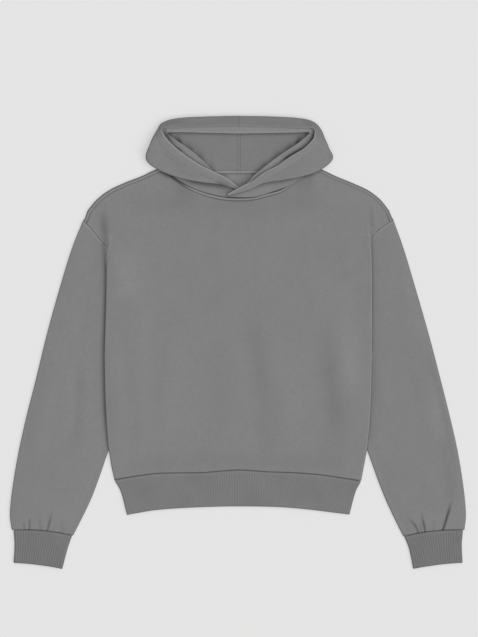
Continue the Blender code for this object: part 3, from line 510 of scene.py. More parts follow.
class Wire:
    """A value in a shader, which takes Python's arithmetic."""

    def __init__(self, graph: "Graph", socket: bpy.types.NodeSocket) -> None:
        """Keep the graph and the socket."""
        self.graph = graph
        self.socket = socket

    def _math(self, operation: str, *values: Any) -> "Wire":
        """Add a Math node and give its value."""
        node = self.graph.node("ShaderNodeMath", {"operation": operation}, *values)
        return Wire(self.graph, node.outputs[0])

    __add__, __radd__ = operator("ADD"), operator("ADD", True)
    __sub__, __rsub__ = operator("SUBTRACT"), operator("SUBTRACT", True)
    __mul__, __rmul__ = operator("MULTIPLY"), operator("MULTIPLY", True)
    __truediv__, __rtruediv__ = operator("DIVIDE"), operator("DIVIDE", True)
    __pow__ = operator("POWER")

    def fraction(self) -> "Wire":
        """What is left above the whole number."""
        return self._math("FRACT", self)

    def size(self) -> "Wire":
        """The value without its sign."""
        return self._math("ABSOLUTE", self)

    def sine(self) -> "Wire":
        """The sine of the value."""
        return self._math("SINE", self)

    def clamp(self) -> "Wire":
        """The value kept between 0 and 1."""
        return self._math("MINIMUM", self._math("MAXIMUM", self, 0.0), 1.0)


class Graph:
    """The node graph of one material."""

    def __init__(self, name: str) -> None:
        """Make the material, with a Principled shader in it."""
        self.material = bpy.data.materials.new(name)
        self.material.use_nodes = True
        self.tree = self.material.node_tree
        self.shader = self.tree.nodes["Principled BSDF"]

    def node(
        self, kind: str, settings: dict[str, Any] | None = None, *values: Any, **named: Any
    ) -> bpy.types.Node:
        """Add a node.

        Args:
            kind: the node's type.
            settings: its settings; "stops" are a ramp's places and colours.
            values: values or links of its first sockets, in order.
            named: values or links by socket name, with _ for a space.

        Returns:
            The node.
        """
        node = self.tree.nodes.new(kind)
        for key, value in (settings or {}).items():
            if key == "stops":
                ramp = node.color_ramp
                while len(ramp.elements) < len(value):
                    ramp.elements.new(0.5)
                for stop, (place, colour) in zip(ramp.elements, value):
                    stop.position = place
                    stop.color = (*colour, 1.0)
            else:
                setattr(node, key, value)
        pairs = list(zip(node.inputs, values))
        pairs += [(node.inputs[key.replace("_", " ")], value) for key, value in named.items()]
        for socket, value in pairs:
            self.feed(socket, value)
        return node

    def feed(self, socket: bpy.types.NodeSocket, value: Any) -> None:
        """Set a socket to a value, or link it."""
        if isinstance(value, Wire):
            value = value.socket
        if isinstance(value, bpy.types.NodeSocket):
            self.tree.links.new(value, socket)
        else:
            socket.default_value = value

    def wire(self, node: bpy.types.Node, output: str | int = 0) -> Wire:
        """One of a node's outputs."""
        return Wire(self, node.outputs[output])

    def places(self) -> bpy.types.NodeSocket:
        """Object coordinates."""
        return self.node("ShaderNodeTexCoord").outputs["Object"]

    def noise(self, scale: float, detail: float = 2.0, rough: float = 0.5, where: Any = None) -> Wire:
        """Noise between 0 and 1; scale is its waves a metre."""
        node = self.node(
            "ShaderNodeTexNoise", {"noise_dimensions": "3D"},
            Vector=where or self.places(), Scale=scale, Detail=detail, Roughness=rough,
        )
        return self.wire(node, "Fac")

    def cloth_places(self) -> tuple[Wire, Wire]:
        """How far across and along the cloth, in metres."""
        chart = self.node("ShaderNodeUVMap", {"uv_map": "cloth"})
        apart = self.node("ShaderNodeSeparateXYZ", None, chart.outputs[0])
        return self.wire(apart, "X"), self.wire(apart, "Y")

    def field(self, name: str) -> Wire:
        """A number kept at each point of the piece."""
        return self.wire(self.node("ShaderNodeAttribute", {"attribute_name": name}), "Fac")

    def colours(self, share: Wire, first: Sequence[float], second: Sequence[float]) -> bpy.types.NodeSocket:
        """A colour between two others."""
        node = self.node("ShaderNodeMix", {"data_type": "RGBA", "clamp_factor": True})
        self.feed(node.inputs[0], share)
        self.feed(node.inputs[6], first if isinstance(first, bpy.types.NodeSocket) else (*first, 1.0))
        self.feed(node.inputs[7], second if isinstance(second, bpy.types.NodeSocket) else (*second, 1.0))
        return node.outputs[2]

    def with_painted_shade(self, colour: bpy.types.NodeSocket, tone: float) -> bpy.types.NodeSocket:
        """A cloth's colour with painted shade: darker where its shade field says, and on the steep sides of
        its folds and edges.
        """
        geometry = self.node("ShaderNodeNewGeometry")
        apart = self.node("ShaderNodeSeparateXYZ", None, geometry.outputs["Normal"])
        # Painted shade on steep sides, where less light falls, added to the shade field's painted shade.
        steep = (STEEP_FROM - self.wire(apart, "Z").size()).clamp() ** 0.5
        share = self.field("shade") + steep * STEEP_PAINTED_SHADE
        return self.colours(share.clamp(), colour, grey(tone * DARKEST_PAINTED_SHADE))

    def constants(self, **values: Any) -> None:
        """Set the shader's own sockets."""
        for key, value in values.items():
            self.shader.inputs[key.replace("_", " ")].default_value = value

    def bump(self, height: Wire, depth: float) -> None:
        """Give the shader a relief of this depth, in metres."""
        node = self.node("ShaderNodeBump", None, Strength=1.0, Distance=depth, Height=height)
        self.feed(self.shader.inputs["Normal"], node.outputs[0])


def grey(value: float) -> tuple[float, float, float]:
    """A neutral colour with a trace of warmth."""
    return value * 1.0, value * 0.998, value * 0.996


@dataclass(frozen=True)
class Fleece:
    """Brushed-back jersey: fine knit columns on its face and short fuzz on its back."""

    tone: float = 0.226
    wale: float = 0.00105      # width of a knit column
    course: float = 0.00085    # height of a stitch
    relief: float = 0.00016
    brushed: bool = False
    painted_groove_shade: float = 0.36      # painted shade in a seam's groove: how much darker its bottom is painted

    def make(self, name: str) -> bpy.types.Material:
        """The material, named as given."""
        graph = Graph(name)
        across, up = graph.cloth_places()
        column = across / self.wale
        side = (column.fraction() - 0.5).size()
        wave = ((up / self.course + side * 0.9) * (2 * np.pi)).sine() * 0.5 + 0.5
        legs = 1 - (side * 4 - 1).size()
        knit = legs * 0.65 + wave * 0.35
        fuzz = graph.noise(2600.0, 3.0, 0.6)
        clumps = graph.noise(420.0, 3.0, 0.55)
        heather = graph.noise(900.0, 2.0, 0.7)
        cloudy = graph.noise(22.0, 3.0, 0.5)
        patches = graph.noise(130.0, 2.0, 0.5)
        lines = self.node_streaks(graph, across, up)
        height = fuzz * 0.75 + clumps * 0.6 if self.brushed else knit * 0.5 + fuzz * 0.45 + clumps * 0.25
        # Painted shade in the groove of each seam.
        painted_groove_shade = 1 - smooth_wire(graph.field("seam"), 0.0, 1.1)
        # The raised knit is painted lighter and its hollows darker: painted shade of its relief, beside the
        # cloth's own uneven tone.
        tone = (heather - 0.5) * 0.22 + (clumps - 0.5) * 0.2 + (cloudy - 0.5) * 0.1 + (height - 0.5) * 0.12
        tone = tone + (patches - 0.5) * 0.09 + (lines - 0.5) * 0.16
        # Painted highlights where the edge field is small: along rims, fold edges and the light lines beside
        # seams.
        painted_highlight = 1 - smooth_wire(graph.field("edge"), 0.3, 1.9)
        light = (tone + 0.5).clamp() - painted_groove_shade * self.painted_groove_shade + painted_highlight * 0.5
        # Where the shade field is below nothing, the cloth is painted lighter: painted light.
        light = light + (0 - graph.field("shade")).clamp()
        cloth = graph.colours(light.clamp(), grey(self.tone * 0.5), grey(self.tone * 1.5))
        graph.feed(graph.shader.inputs["Base Color"], graph.with_painted_shade(cloth, self.tone))
        graph.feed(graph.shader.inputs["Roughness"], (heather * 0.12 + 0.86).clamp())
        graph.constants(
            Metallic=0.0, Specular_IOR_Level=0.25, Sheen_Weight=0.18 if self.brushed else 0.12,
            Sheen_Roughness=0.5, Sheen_Tint=(*grey(0.75), 1.0),
        )
        graph.bump(height, self.relief * (1.6 if self.brushed else 1.0))
        return graph.material

    def node_streaks(self, graph: Graph, across: Wire, up: Wire) -> Wire:
        """Faint bars along the courses of the knit."""
        where = graph.node("ShaderNodeCombineXYZ", None, across * 110.0, up * 520.0, 0.0).outputs[0]
        return graph.noise(1.0, 2.0, 0.6, where)


def smooth_wire(value: Wire, low: float, high: float) -> Wire:
    """0 below low, 1 above high and an S-curve between them, in a shader."""
    t = ((value - low) / (high - low)).clamp()
    return t * t * (3 - t * 2)


@dataclass(frozen=True)
class RibKnit:
    """Rib knit: chunky columns with smooth yarn, with painted shade in the valleys between the ribs."""

    tone: float = 0.205
    stitch: float = 0.0011
    relief: float = 0.00022

    def make(self, name: str) -> bpy.types.Material:
        """The material, named as given."""
        graph = Graph(name)
        across, up = graph.cloth_places()
        rib = graph.field("rib")
        side = (rib.fraction() - 0.5).size()
        leg = ((rib * 2).fraction() - 0.5).size()
        wave = ((up / self.stitch + leg * 1.1) * (2 * np.pi)).sine() * 0.5 + 0.5
        fuzz = graph.noise(2400.0, 3.0, 0.6)
        heather = graph.noise(800.0, 2.0, 0.7)
        cloudy = graph.noise(18.0, 2.0, 0.5)
        # Painted shade in the valleys between the ribs.
        painted_valley_shade = smooth_wire(side, 0.3, 0.5)
        height = wave * 0.45 + fuzz * 0.4 + (1 - leg * 2) * 0.25
        # Painted shade in the groove of the seam.
        painted_groove_shade = 1 - smooth_wire(graph.field("seam"), 0.0, 1.1)
        tone = (heather - 0.5) * 0.2 + (cloudy - 0.5) * 0.2 + (wave - 0.5) * 0.06
        # Painted shade in the rib valleys and the seam's groove, and painted light where the shade field is
        # below nothing.
        light = (tone + 0.5).clamp() - painted_valley_shade * 0.2 - painted_groove_shade * 0.2 + (0 - graph.field("shade")).clamp()
        knit = graph.colours(light.clamp(), grey(self.tone * 0.45), grey(self.tone * 1.55))
        graph.feed(graph.shader.inputs["Base Color"], graph.with_painted_shade(knit, self.tone))
        graph.feed(graph.shader.inputs["Roughness"], (heather * 0.14 + 0.8).clamp())
        graph.constants(
            Metallic=0.0, Specular_IOR_Level=0.25, Sheen_Weight=0.1, Sheen_Roughness=0.5,
            Sheen_Tint=(*grey(0.75), 1.0),
        )
        graph.bump(height, self.relief)
        return graph.material


@dataclass(frozen=True)
class Thread:
    """Spun sewing thread, twisted, in the cloth's own grey."""

    tone: float = 0.15

    def make(self, name: str) -> bpy.types.Material:
        """The material, named as given."""
        graph = Graph(name)
        fibre = graph.noise(3000.0, 2.0, 0.6)
        shade = graph.noise(160.0, 2.0, 0.5)
        light = (fibre * 0.5 + shade * 0.5).clamp()
        graph.feed(
            graph.shader.inputs["Base Color"],
            graph.colours(light, grey(self.tone * 0.6), grey(self.tone * 1.4)),
        )
        graph.feed(graph.shader.inputs["Roughness"], (fibre * 0.2 + 0.6).clamp())
        graph.constants(Metallic=0.0, Specular_IOR_Level=0.35, Sheen_Weight=0.1)
        graph.bump(fibre, 0.00008)
        return graph.material


@dataclass(frozen=True)
class Backdrop:
    """Plain pale studio paper."""

    tone: float = 0.45
    glow: float = 0.356        # the paper is lit from below, so that shadows on it stay faint

    def make(self, name: str) -> bpy.types.Material:
        """The material, named as given."""
        graph = Graph(name)
        grain = graph.noise(60.0, 3.0, 0.5)
        graph.feed(
            graph.shader.inputs["Base Color"],
            graph.colours(grain, grey(self.tone * 0.998), grey(self.tone * 1.002)),
        )
        graph.feed(graph.shader.inputs["Roughness"], (grain * 0.05 + 0.9).clamp())
        graph.constants(
            Metallic=0.0, Specular_IOR_Level=0.0,
            Emission_Color=(1.0, 1.0, 1.0, 1.0), Emission_Strength=self.glow,
        )
        return graph.material


@dataclass
class Wardrobe:
    """The finishes that the pieces share."""

    face: bpy.types.Material = field(default_factory=lambda: Fleece().make("fleece_face"))
    brushed: bpy.types.Material = field(
        default_factory=lambda: Fleece(tone=0.218, brushed=True).make("fleece_inside")
    )
    rib: bpy.types.Material = field(default_factory=lambda: RibKnit().make("rib_knit"))
    thread: bpy.types.Material = field(default_factory=lambda: Thread().make("sewing_thread"))


# ---------------------------------------------------------------- making a piece

SHARP_ANGLE = 62.0     # degrees from which an edge is rounded off
SMOOTH_ANGLE = 60.0    # degrees up to which two faces are shaded as one
NO_EDGE = 20.0         # millimetres, further from an edge than its painted highlight reaches


def deselect() -> None:
    """Leave object mode with nothing selected."""
    if bpy.context.mode != "OBJECT":
        bpy.ops.object.mode_set(mode="OBJECT")
    bpy.ops.object.select_all(action="DESELECT")


def apply_modifier(piece: Thing, kind: str, **settings: Any) -> None:
    """Add a modifier to the active object, set it and apply it."""
    modifier = piece.modifiers.new(kind.title(), kind)
    for key, value in settings.items():
        setattr(modifier, key, value)
    bpy.ops.object.modifier_apply(modifier=modifier.name)


@dataclass
class Panel:
    """One piece of cloth: a middle surface that is given a wall.

    middle is a grid of rows and columns in millimetres.  outward is 1 or -1, the side
    of the grid that is the right side of the cloth.  seam is how far each point is
    from a sewn edge.  edge is how far it is from a painted highlight, and shade is its
    painted shade, which is painted light below nothing.
    """

    name: str
    middle: Array
    outward: float
    seam: Array
    rib: Array | None = None
    edge: Array | None = None
    shade: Array | None = None
    wall: Array | None = None
    cells: Array | None = None
    closed: bool = False
    soft_edge: float = 0.45

    def cloth_map(self) -> Array:
        """How far across and along the cloth each point lies, in metres."""
        across = run(self.middle, 1)
        across = across - across[:, across.shape[1] // 2][:, None]
        up = run(self.middle, 0).mean(axis=1, keepdims=True) + np.zeros_like(across)
        return np.stack([across, up], axis=-1) * MM

    def make(self, outside: bpy.types.Material, inside: bpy.types.Material) -> Thing:
        """Model the piece.

        Args:
            outside: the finish of its right side.
            inside: the finish of its wrong side.

        Returns:
            The piece, at the origin, with its place in its mesh.
        """
        rows, columns = self.middle.shape[:2]
        deselect()
        bpy.ops.mesh.primitive_grid_add(x_subdivisions=columns - 1, y_subdivisions=rows - 1, size=1.0)
        piece = bpy.context.object
        piece.name = piece.data.name = self.name
        mesh = piece.data
        places = (self.middle + CENTRING) * MM
        mesh.vertices.foreach_set("co", places.astype(np.float32).ravel())
        self.dress(mesh)
        piece.data.materials.append(outside)
        piece.data.materials.append(inside)
        self.trim(piece)
        wall = self.wall if self.wall is not None else np.full((rows, columns), CLOTH)
        if not self.closed and self.cells is None:
            group = piece.vertex_groups.new(name="wall")
            for index, share in enumerate((wall / wall.max()).ravel()):
                group.add([index], float(share), "REPLACE")
            apply_modifier(
                piece, "SOLIDIFY", thickness=wall.max() * MM, offset=0.0,
                vertex_group="wall", material_offset=1,
            )
            piece.vertex_groups.clear()
        else:
            apply_modifier(piece, "SOLIDIFY", thickness=CLOTH * MM, offset=0.0, material_offset=1)
        if self.soft_edge:
            apply_modifier(
                piece, "BEVEL", width=self.soft_edge * MM, segments=2,
                limit_method="ANGLE", angle_limit=np.radians(SHARP_ANGLE),
            )
        bpy.ops.object.shade_smooth_by_angle(angle=np.radians(SMOOTH_ANGLE))
        self.clear_below(piece.data)
        return piece

    def clear_below(self, mesh: bpy.types.Mesh) -> None:
        """Keep the shade on the faces that look up, where the light falls that it stands for."""
        normal = np.empty(len(mesh.vertices) * 3, np.float32)
        mesh.vertices.foreach_get("normal", normal)
        shade = np.empty(len(mesh.vertices), np.float32)
        mesh.attributes["shade"].data.foreach_get("value", shade)
        shade *= smooth_step(-0.25, 0.05, normal[2::3]).astype(np.float32)
        mesh.attributes["shade"].data.foreach_set("value", shade)

    def dress(self, mesh: bpy.types.Mesh) -> None:
        """Lay the cloth's own coordinates over the mesh, with its fields: seam distance, rib number, distance
        from a painted highlight and painted shade.
        """
        layer = mesh.uv_layers[0]
        layer.name = "cloth"
        corner = np.empty(len(mesh.loops), np.int32)
        mesh.loops.foreach_get("vertex_index", corner)
        chart = self.cloth_map().reshape(-1, 2)[corner]
        layer.uv.foreach_set("vector", chart.astype(np.float32).ravel())
        rib = self.rib if self.rib is not None else np.zeros(self.seam.shape)
        edge = self.edge if self.edge is not None else np.full(self.seam.shape, NO_EDGE)
        shade = self.shade if self.shade is not None else np.zeros(self.seam.shape)
        for name, values in (("seam", self.seam), ("rib", rib), ("edge", edge), ("shade", shade)):
            attribute = mesh.attributes.new(name, "FLOAT", "POINT")
            attribute.data.foreach_set("value", values.astype(np.float32).ravel())

    def trim(self, piece: Thing) -> None:
        """Cut away the cells that hold no cloth, join a ring and turn the right side out."""
        if self.cells is not None:
            chosen = ~self.cells.ravel()
            bpy.context.tool_settings.mesh_select_mode = (False, False, True)
            bpy.ops.object.mode_set(mode="EDIT")
            bpy.ops.mesh.select_all(action="DESELECT")
            bpy.ops.object.mode_set(mode="OBJECT")
            piece.data.polygons.foreach_set("select", chosen)
            bpy.ops.object.mode_set(mode="EDIT")
            bpy.ops.mesh.delete(type="FACE")
        bpy.ops.object.mode_set(mode="EDIT")
        bpy.ops.mesh.select_all(action="SELECT")
        if self.closed:
            bpy.ops.mesh.remove_doubles(threshold=1e-6)
        if self.outward < 0:
            bpy.ops.mesh.flip_normals()
        bpy.ops.object.mode_set(mode="OBJECT")

    def surface(self) -> Array:
        """Points of the right side of the cloth."""
        facing = normals(self.middle, self.closed) * self.outward
        wall = self.wall if self.wall is not None else np.full(self.middle.shape[:2], CLOTH)
        return self.middle + facing * (wall / 2)[..., None]


def settle(piece: Thing, nodes: Sequence[str] = ()) -> Thing:
    """Let a piece go with the garment and stand for its solids."""
    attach(piece, "root")
    if nodes:
        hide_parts(*nodes)
    log.info("%s: %d faces", piece.name, len(piece.data.polygons))
    return piece


# ---------------------------------------------------------------- the plan of the body


def plan_normals(line: Array, sign: float) -> Array:
    """Plan normals of a line that runs up the body; sign 1 turns them left."""
    way = unit(np.gradient(line, axis=0))
    return np.stack([-way[:, 1], way[:, 0]], axis=-1) * sign


def outward_plan(line: Array, other: Array) -> Array:
    """Plan normals of a long edge of a tube, pointing away from its other edge."""
    normal = plan_normals(line, 1.0)
    side = np.sum(normal * (line - other), axis=1)
    return normal * np.where(side < 0, -1.0, 1.0)[:, None]


def short_of_tip(line: Array, distance: float) -> Array:
    """A side line that stops this far short of the shoulder tip."""
    line = np.array(line, float)
    line[-1] += unit(line[-2] - line[-1]) * distance
    return line


def side_line(side: Side) -> Array:
    """The body's side fold and armhole, row by row of its table."""
    table = np.array(SIDES)
    return table[:, 0:2] if side is Side.LEFT else table[:, 2:4]


def fold_distance(points: Array) -> Array:
    """How far inside the nearer side fold each plan point lies."""
    found = []
    for side in Side:
        fold = side_line(side)[: CORNER_ROW + 1]
        found.append(side.sign * (np.interp(points[..., 1], fold[:, 1], fold[:, 0]) - points[..., 0]))
    return np.minimum(*found)


def hem_points(fractions: Array) -> Array:
    """Points of the hem seam."""
    seam = through(HEM_SEAM, np.linspace(0, len(HEM_SEAM) - 1, 400))
    return along(seam, fractions)


FRONT_CREASES = (
    Crease(((2, 110), (14, 30), (30, -50), (45, -140), (42, -224)), 21, -1.05, 0.4, 0.4),
    Crease(((128, 60), (138, 0), (152, -80), (167, -150), (184, -212)), 20, -0.72, 0.5, 0.45),
    Crease(((-197, 10), (-193, -50), (-184, -140), (-189, -215)), 15, -1.0, -0.4, 0.22),
    Crease(((-50, 60), (-56, -60), (-68, -220)), 26, -0.7, 0.0, 0.3),
    Crease(((172, 130), (168, 60), (176, -30), (190, -110)), 24, 0.8, 0.0, 0.45),
    Crease(((-206, 170), (-204, 120), (-198, 50)), 22, 0.9, 0.0, 0.4),
    Crease(((88, 40), (92, -60), (104, -190)), 20, 0.6, 0.0, 0.3),
    Crease(((-112, 30), (-118, -60), (-126, -190)), 20, 0.5, 0.0, 0.3),
    Crease(((-150, 235), (-120, 200), (-70, 170)), 16, -0.35, 0.3, 0.4),
    Crease(((150, 238), (118, 206), (72, 178)), 16, -0.35, -0.3, 0.4),
    Crease(((-216, 130), (-190, 118), (-150, 121)), 8, -0.55, 0.4, 0.4),
    Crease(((-217, 96), (-196, 84), (-170, 80)), 7, -0.4, 0.4, 0.4),
    Crease(((218, 142), (196, 128), (160, 126)), 8, -0.5, -0.4, 0.4),
    Crease(((218, 108), (200, 96), (176, 92)), 7, -0.35, -0.4, 0.4),
    Crease(((-140, -190), (-136, -226)), 7, -0.13, 0.3, 0.35),
    Crease(((-98, -200), (-96, -226)), 7, -0.10, -0.3, 0.35),
    Crease(((-20, -196), (-18, -222)), 7, -0.10, 0.3, 0.35),
    Crease(((74, -198), (78, -225)), 7, -0.12, 0.3, 0.35),
    Crease(((122, -204), (124, -228)), 7, -0.11, -0.3, 0.35),
    Crease(((-166, -205), (-168, -232)), 7, -0.11, 0.3, 0.35),
)
BACK_CREASES = (
    Crease(((-60, 120), (-48, 20), (-40, -90), (-52, -210)), 18, 1.0, 0.2, 0.25),
    Crease(((70, 100), (62, -10), (74, -120), (66, -215)), 18, 0.9, -0.2, 0.25),
    Crease(((0, 190), (8, 110), (4, 30)), 24, 0.7, 0.0, 0.3),
    Crease(((-130, 60), (-138, -60), (-128, -180)), 16, 0.8, 0.2, 0.3),
    Crease(((136, 70), (144, -50), (134, -170)), 16, 0.8, -0.2, 0.3),
    Crease(((-160, 200), (-110, 160), (-60, 140)), 14, 0.6, 0.2, 0.3),
    Crease(((160, 204), (114, 166), (60, 148)), 14, 0.6, -0.2, 0.3),
)


# Painted shade and painted light on the front: shadows under the hood, shade and highlights beside its side
# folds, and broad soft light and shade over its panels.
FRONT_PAINTED_SHADE = (
    painted_stroke(((-145, 303), (-128, 297), (-112, 289), (-96, 280), (-80, 271)), 4.4, 0.74, 0.3),
    painted_stroke(((-118, 282), (-96, 268), (-70, 256)), 10.0, 0.10, 0.4),
    painted_stroke(((108, 296), (122, 296), (138, 299)), 6.0, 0.34, 0.4),
    painted_stroke(((96, 284), (120, 282), (140, 288)), 12.0, 0.12, 0.4),
    painted_stroke(((-236, 240), (-235, 215), (-232.5, 190), (-231, 140)), 6.4, 0.26, 0.35),
    painted_stroke(((233.5, 246), (233.8, 215), (234.4, 150)), 3.4, 0.16, 0.3),
    painted_stroke(((230, 215), (230.2, 180), (230.4, 150)), 1.6, -0.16, 0.3),
    painted_stroke(((-221.5, 190), (-225.5, 173), (-228.5, 156)), 2.8, -0.28, 0.25),
    painted_stroke(((-229.8, 152), (-229.4, 132), (-229, 120)), 1.8, 0.24, 0.4),
    painted_stroke(((7, 75), (30, -28), (45, -150), (40, -215)), 17.0, 0.05, 0.25),
    painted_stroke(((135, 28), (150, -60), (184, -200)), 15.0, 0.035, 0.25),
    painted_stroke(((-195, -30), (-189, -120), (-190, -206)), 12.0, 0.03, 0.25),
    painted_stroke(((-100, 285), (-104, 262), (-96, 236)), 26.0, 0.045, 0.2),
    painted_stroke(((104, 285), (108, 262), (98, 236)), 26.0, 0.045, 0.2),
    painted_stroke(((-205, 240), (-60, 243), (60, 243), (150, 240)), 20.0, 0.055, 0.1),
    painted_stroke(((-195, -214), (0, -205), (195, -214)), 16.0, 0.05, 0.03),
    painted_stroke(((-60, 236), (0, 226), (60, 236)), 30.0, 0.022, 0.2),
    painted_stroke(((-50, 190), (-46, 110), (-40, 40)), 22.0, 0.022, 0.25),
    painted_stroke(((-205, 180), (-204, 130), (-192, 60)), 26.0, -0.065, 0.3),
    painted_stroke(((170, 170), (168, 80), (188, 0), (206, -120)), 26.0, -0.075, 0.25),
    painted_stroke(((70, 20), (84, -80), (92, -190)), 22.0, -0.03, 0.3),
    painted_stroke(((-120, 10), (-118, -90), (-128, -190)), 22.0, -0.02, 0.3),
)
ARMPIT_FOLDS = (
    Crease(((-236, 240), (-235, 215), (-233, 190), (-231, 140)), 6.0, -0.8, 0.0, 0.3),
    Crease(((233.5, 244), (233.8, 215), (234.0, 150)), 3.0, -0.4, 0.0, 0.3),
)


# Painted light on the back inside the neck, and painted shade where it turns over the shoulder at its
# silhouette.
NECK_PAINTED_LIGHT = painted_stroke(((-24, 290), (4, 282), (30, 290)), 14.0, -0.16, 0.2)
SHOULDER_PAINTED_SHADE = (0.2, 0.4, 0.48, 0.48, 0.42, 0.34, 0.26, 0.14, 0.0)
SHOULDER_TURN = 4      # rows of the turn before the first of these painted shades


@dataclass
class Body:
    """The front and the back panel."""

    wardrobe: Wardrobe
    pitch: float = 3.0
    roll_steps: int = 8
    strip: float = 5.0        # flat margin of a panel beside the armhole
    tip_lap: float = 4.5      # how far the back reaches over the shoulder at its tip
    ramp_start: float = 2.5
    ramp_width: float = 10.0
    front: Panel = field(init=False)
    front_marks: tuple[Array, Array] = field(init=False)

    def sleeve_lift(self, y: Array) -> Array:
        """How far the front is lifted beside its side folds."""
        at = np.interp(y, LIFT_PLACES, np.arange(len(SLEEVE_LIFT)))
        return through(SLEEVE_LIFT, at.ravel()).reshape(y.shape)

    def front_height(self, points: Array) -> Array:
        """Middle height of the front layer, without its creases."""
        y = points[..., 1]
        inside = fold_distance(points)
        ridge = smooth_step(-9.0, 0.0, inside) * (1.0 - smooth_step(36.0, 90.0, inside))
        crown = 0.6 * smooth_step(-241.0, -150.0, y) * smooth_step(0.0, 60.0, inside)
        crown = crown * (1.0 - smooth_step(180.0, 235.0, y))
        hem = 0.6 * (1.0 - smooth_step(-241.0, -215.0, y)) * (y < 0)
        return TOP_LAYER + np.maximum(self.sleeve_lift(y) * ridge, 0.0) + hem + crown

    def margin(
        self, edge: Array, out: Array, radius: Array, roll: Array, z: Array, turn: float
    ) -> list[Array]:
        """The columns outside a side edge: rolled over at the fold and flat at the armhole.

        Args:
            edge: the plan line that they start from.
            out: its plan normals, pointing out.
            radius: the fold's radius, row by row.
            roll: 1 where the panel is folded and 0 where it is flat.
            z: the height of the edge.
            turn: -1 to roll down and 1 to roll up.

        Returns:
            The columns, from the edge outwards.
        """
        columns = []
        for step in range(1, self.roll_steps + 1):
            share = step / self.roll_steps
            gap = SEAM / 2 if step == self.roll_steps else 0.0
            angle = share * np.pi / 2 - gap / radius
            flat = edge + out * (share * self.strip - gap)
            bent = edge + out * (radius * np.sin(angle))[:, None]
            drop = turn * radius * (1.0 - np.cos(angle))
            place = flat * (1 - roll)[:, None] + bent * roll[:, None]
            columns.append(np.concatenate([place, (z + drop * roll)[:, None]], axis=-1))
        return columns

    def front_lines(self, short: float) -> tuple[Array, Array, Array]:
        """The front's finely spaced side lines and the table's other columns."""
        table = np.array(SIDES, float)
        table[:, 0:2] = short_of_tip(table[:, 0:2], short)
        table[:, 2:4] = short_of_tip(table[:, 2:4], short)
        numbers = row_numbers(table[:, 0:2], self.pitch, SEWN, SEWN)
        fine = through(table, numbers)
        fine[:, 6] = np.clip(fine[:, 6], 0.0, 1.0)
        return fine[:, 0:2], fine[:, 2:4], fine[:, 4:7]

    def make_front(self) -> Thing:
        """The front, rolled over at the sides and flat beside the armholes."""
        left_line, right_line, levels = self.front_lines(self.tip_lap + 1.5)
        under, over, roll = levels.T
        radius = np.maximum((over - under) / 2.0, TIGHT_FOLD)
        inset = (roll * radius + (1 - roll) * self.strip)[:, None]
        out_left, out_right = plan_normals(left_line, 1.0), plan_normals(right_line, -1.0)
        left, right = left_line - out_left * inset, right_line - out_right * inset
        places = row_numbers(np.array(TOP)[:, 2:4], self.pitch, PLAIN, PLAIN, NECK_COLUMNS)
        seam_line = in_stretches(np.array(TOP)[:, 2:4], places, NECK_COLUMNS)
        top = np.concatenate([left[-1:], seam_line, right[-1:]])
        share = run(top) / run(top)[-1]
        bottom = hem_points(share)
        bottom[0], bottom[-1] = left[0], right[0]
        bottom[1:-1, 1] += SEAM / 2
        plan = patch(bottom, top, left, right)
        height = self.front_height(plan)
        for column, far in ((0, run(plan, 1)), (-1, run(plan[:, ::-1], 1)[:, ::-1])):
            step = (over - height[:, column])[:, None]
            height = height + step * np.exp(-((far / 7.0) ** 2))
        main = np.concatenate([plan, height[..., None]], axis=-1)
        sides = (
            self.margin(left, out_left, radius, roll, over, -1.0)[::-1],
            self.margin(right, out_right, radius, roll, over, -1.0),
        )
        grid = np.concatenate([np.stack(sides[0], 1), main, np.stack(sides[1], 1)], axis=1)
        from_top = run(grid[::-1], 0)[::-1]
        from_hem = run(grid, 0)
        flat = 1 - roll[:, None]
        from_side = np.minimum(run(grid, 1), run(grid[:, ::-1], 1)[:, ::-1])
        neck_share = self.neck_share(grid.shape[1], places)
        relief = seam_relief(from_top) * neck_share + joined_relief(from_top) * (1 - neck_share)
        relief = relief + joined_relief(from_hem) * 0.6 + joined_relief(from_side) * flat
        inner = smooth_step(0.0, 9.0, fold_distance(grid[..., :2]))
        for crease in FRONT_CREASES:
            relief = relief + crease.relief(grid[..., :2]) * inner * 2.3
        for crease in ARMPIT_FOLDS:
            relief = relief + crease.relief(grid[..., :2]) * smooth_step(2.0, 8.0, from_top)
        # Painted shade and painted light: the front's strokes, and dark lines in the grooves of its neck,
        # hem, shoulder and armhole seams.
        shade = sum(crease.relief(grid[..., :2]) for crease in FRONT_PAINTED_SHADE)
        neck_painted_shade = 0.5 * line_of(from_top, 0.0, 1.2) + 0.62 * line_of(from_top, 5.2, 1.1)
        shade = shade + neck_share * neck_painted_shade
        shade = shade + RIB_SEAM_PAINTED_SHADE * line_of(from_hem, 0.0, 1.15)
        shade = shade + (1 - neck_share) * 0.1 * line_of(from_top, 0.0, 1.0)
        shade = shade + PLAIN_SEAM_PAINTED_SHADE * line_of(from_side, 0.0, 1.0) * flat
        calm = smooth_step(4.0, 30.0, from_top) * smooth_step(2.0, 20.0, from_hem)
        relief = relief + ripple(grid, 3, 120.0, 26.0) * 0.16 * calm * (0.25 + 0.75 * inner)
        grid = grid + normals(grid) * relief[..., None]
        seam = np.minimum(from_top, np.minimum(from_hem, from_side + 20 * (1 - flat)))
        seam = np.minimum(seam, np.abs(from_top - 5.0) + 0.1 + 20 * (1 - neck_share))
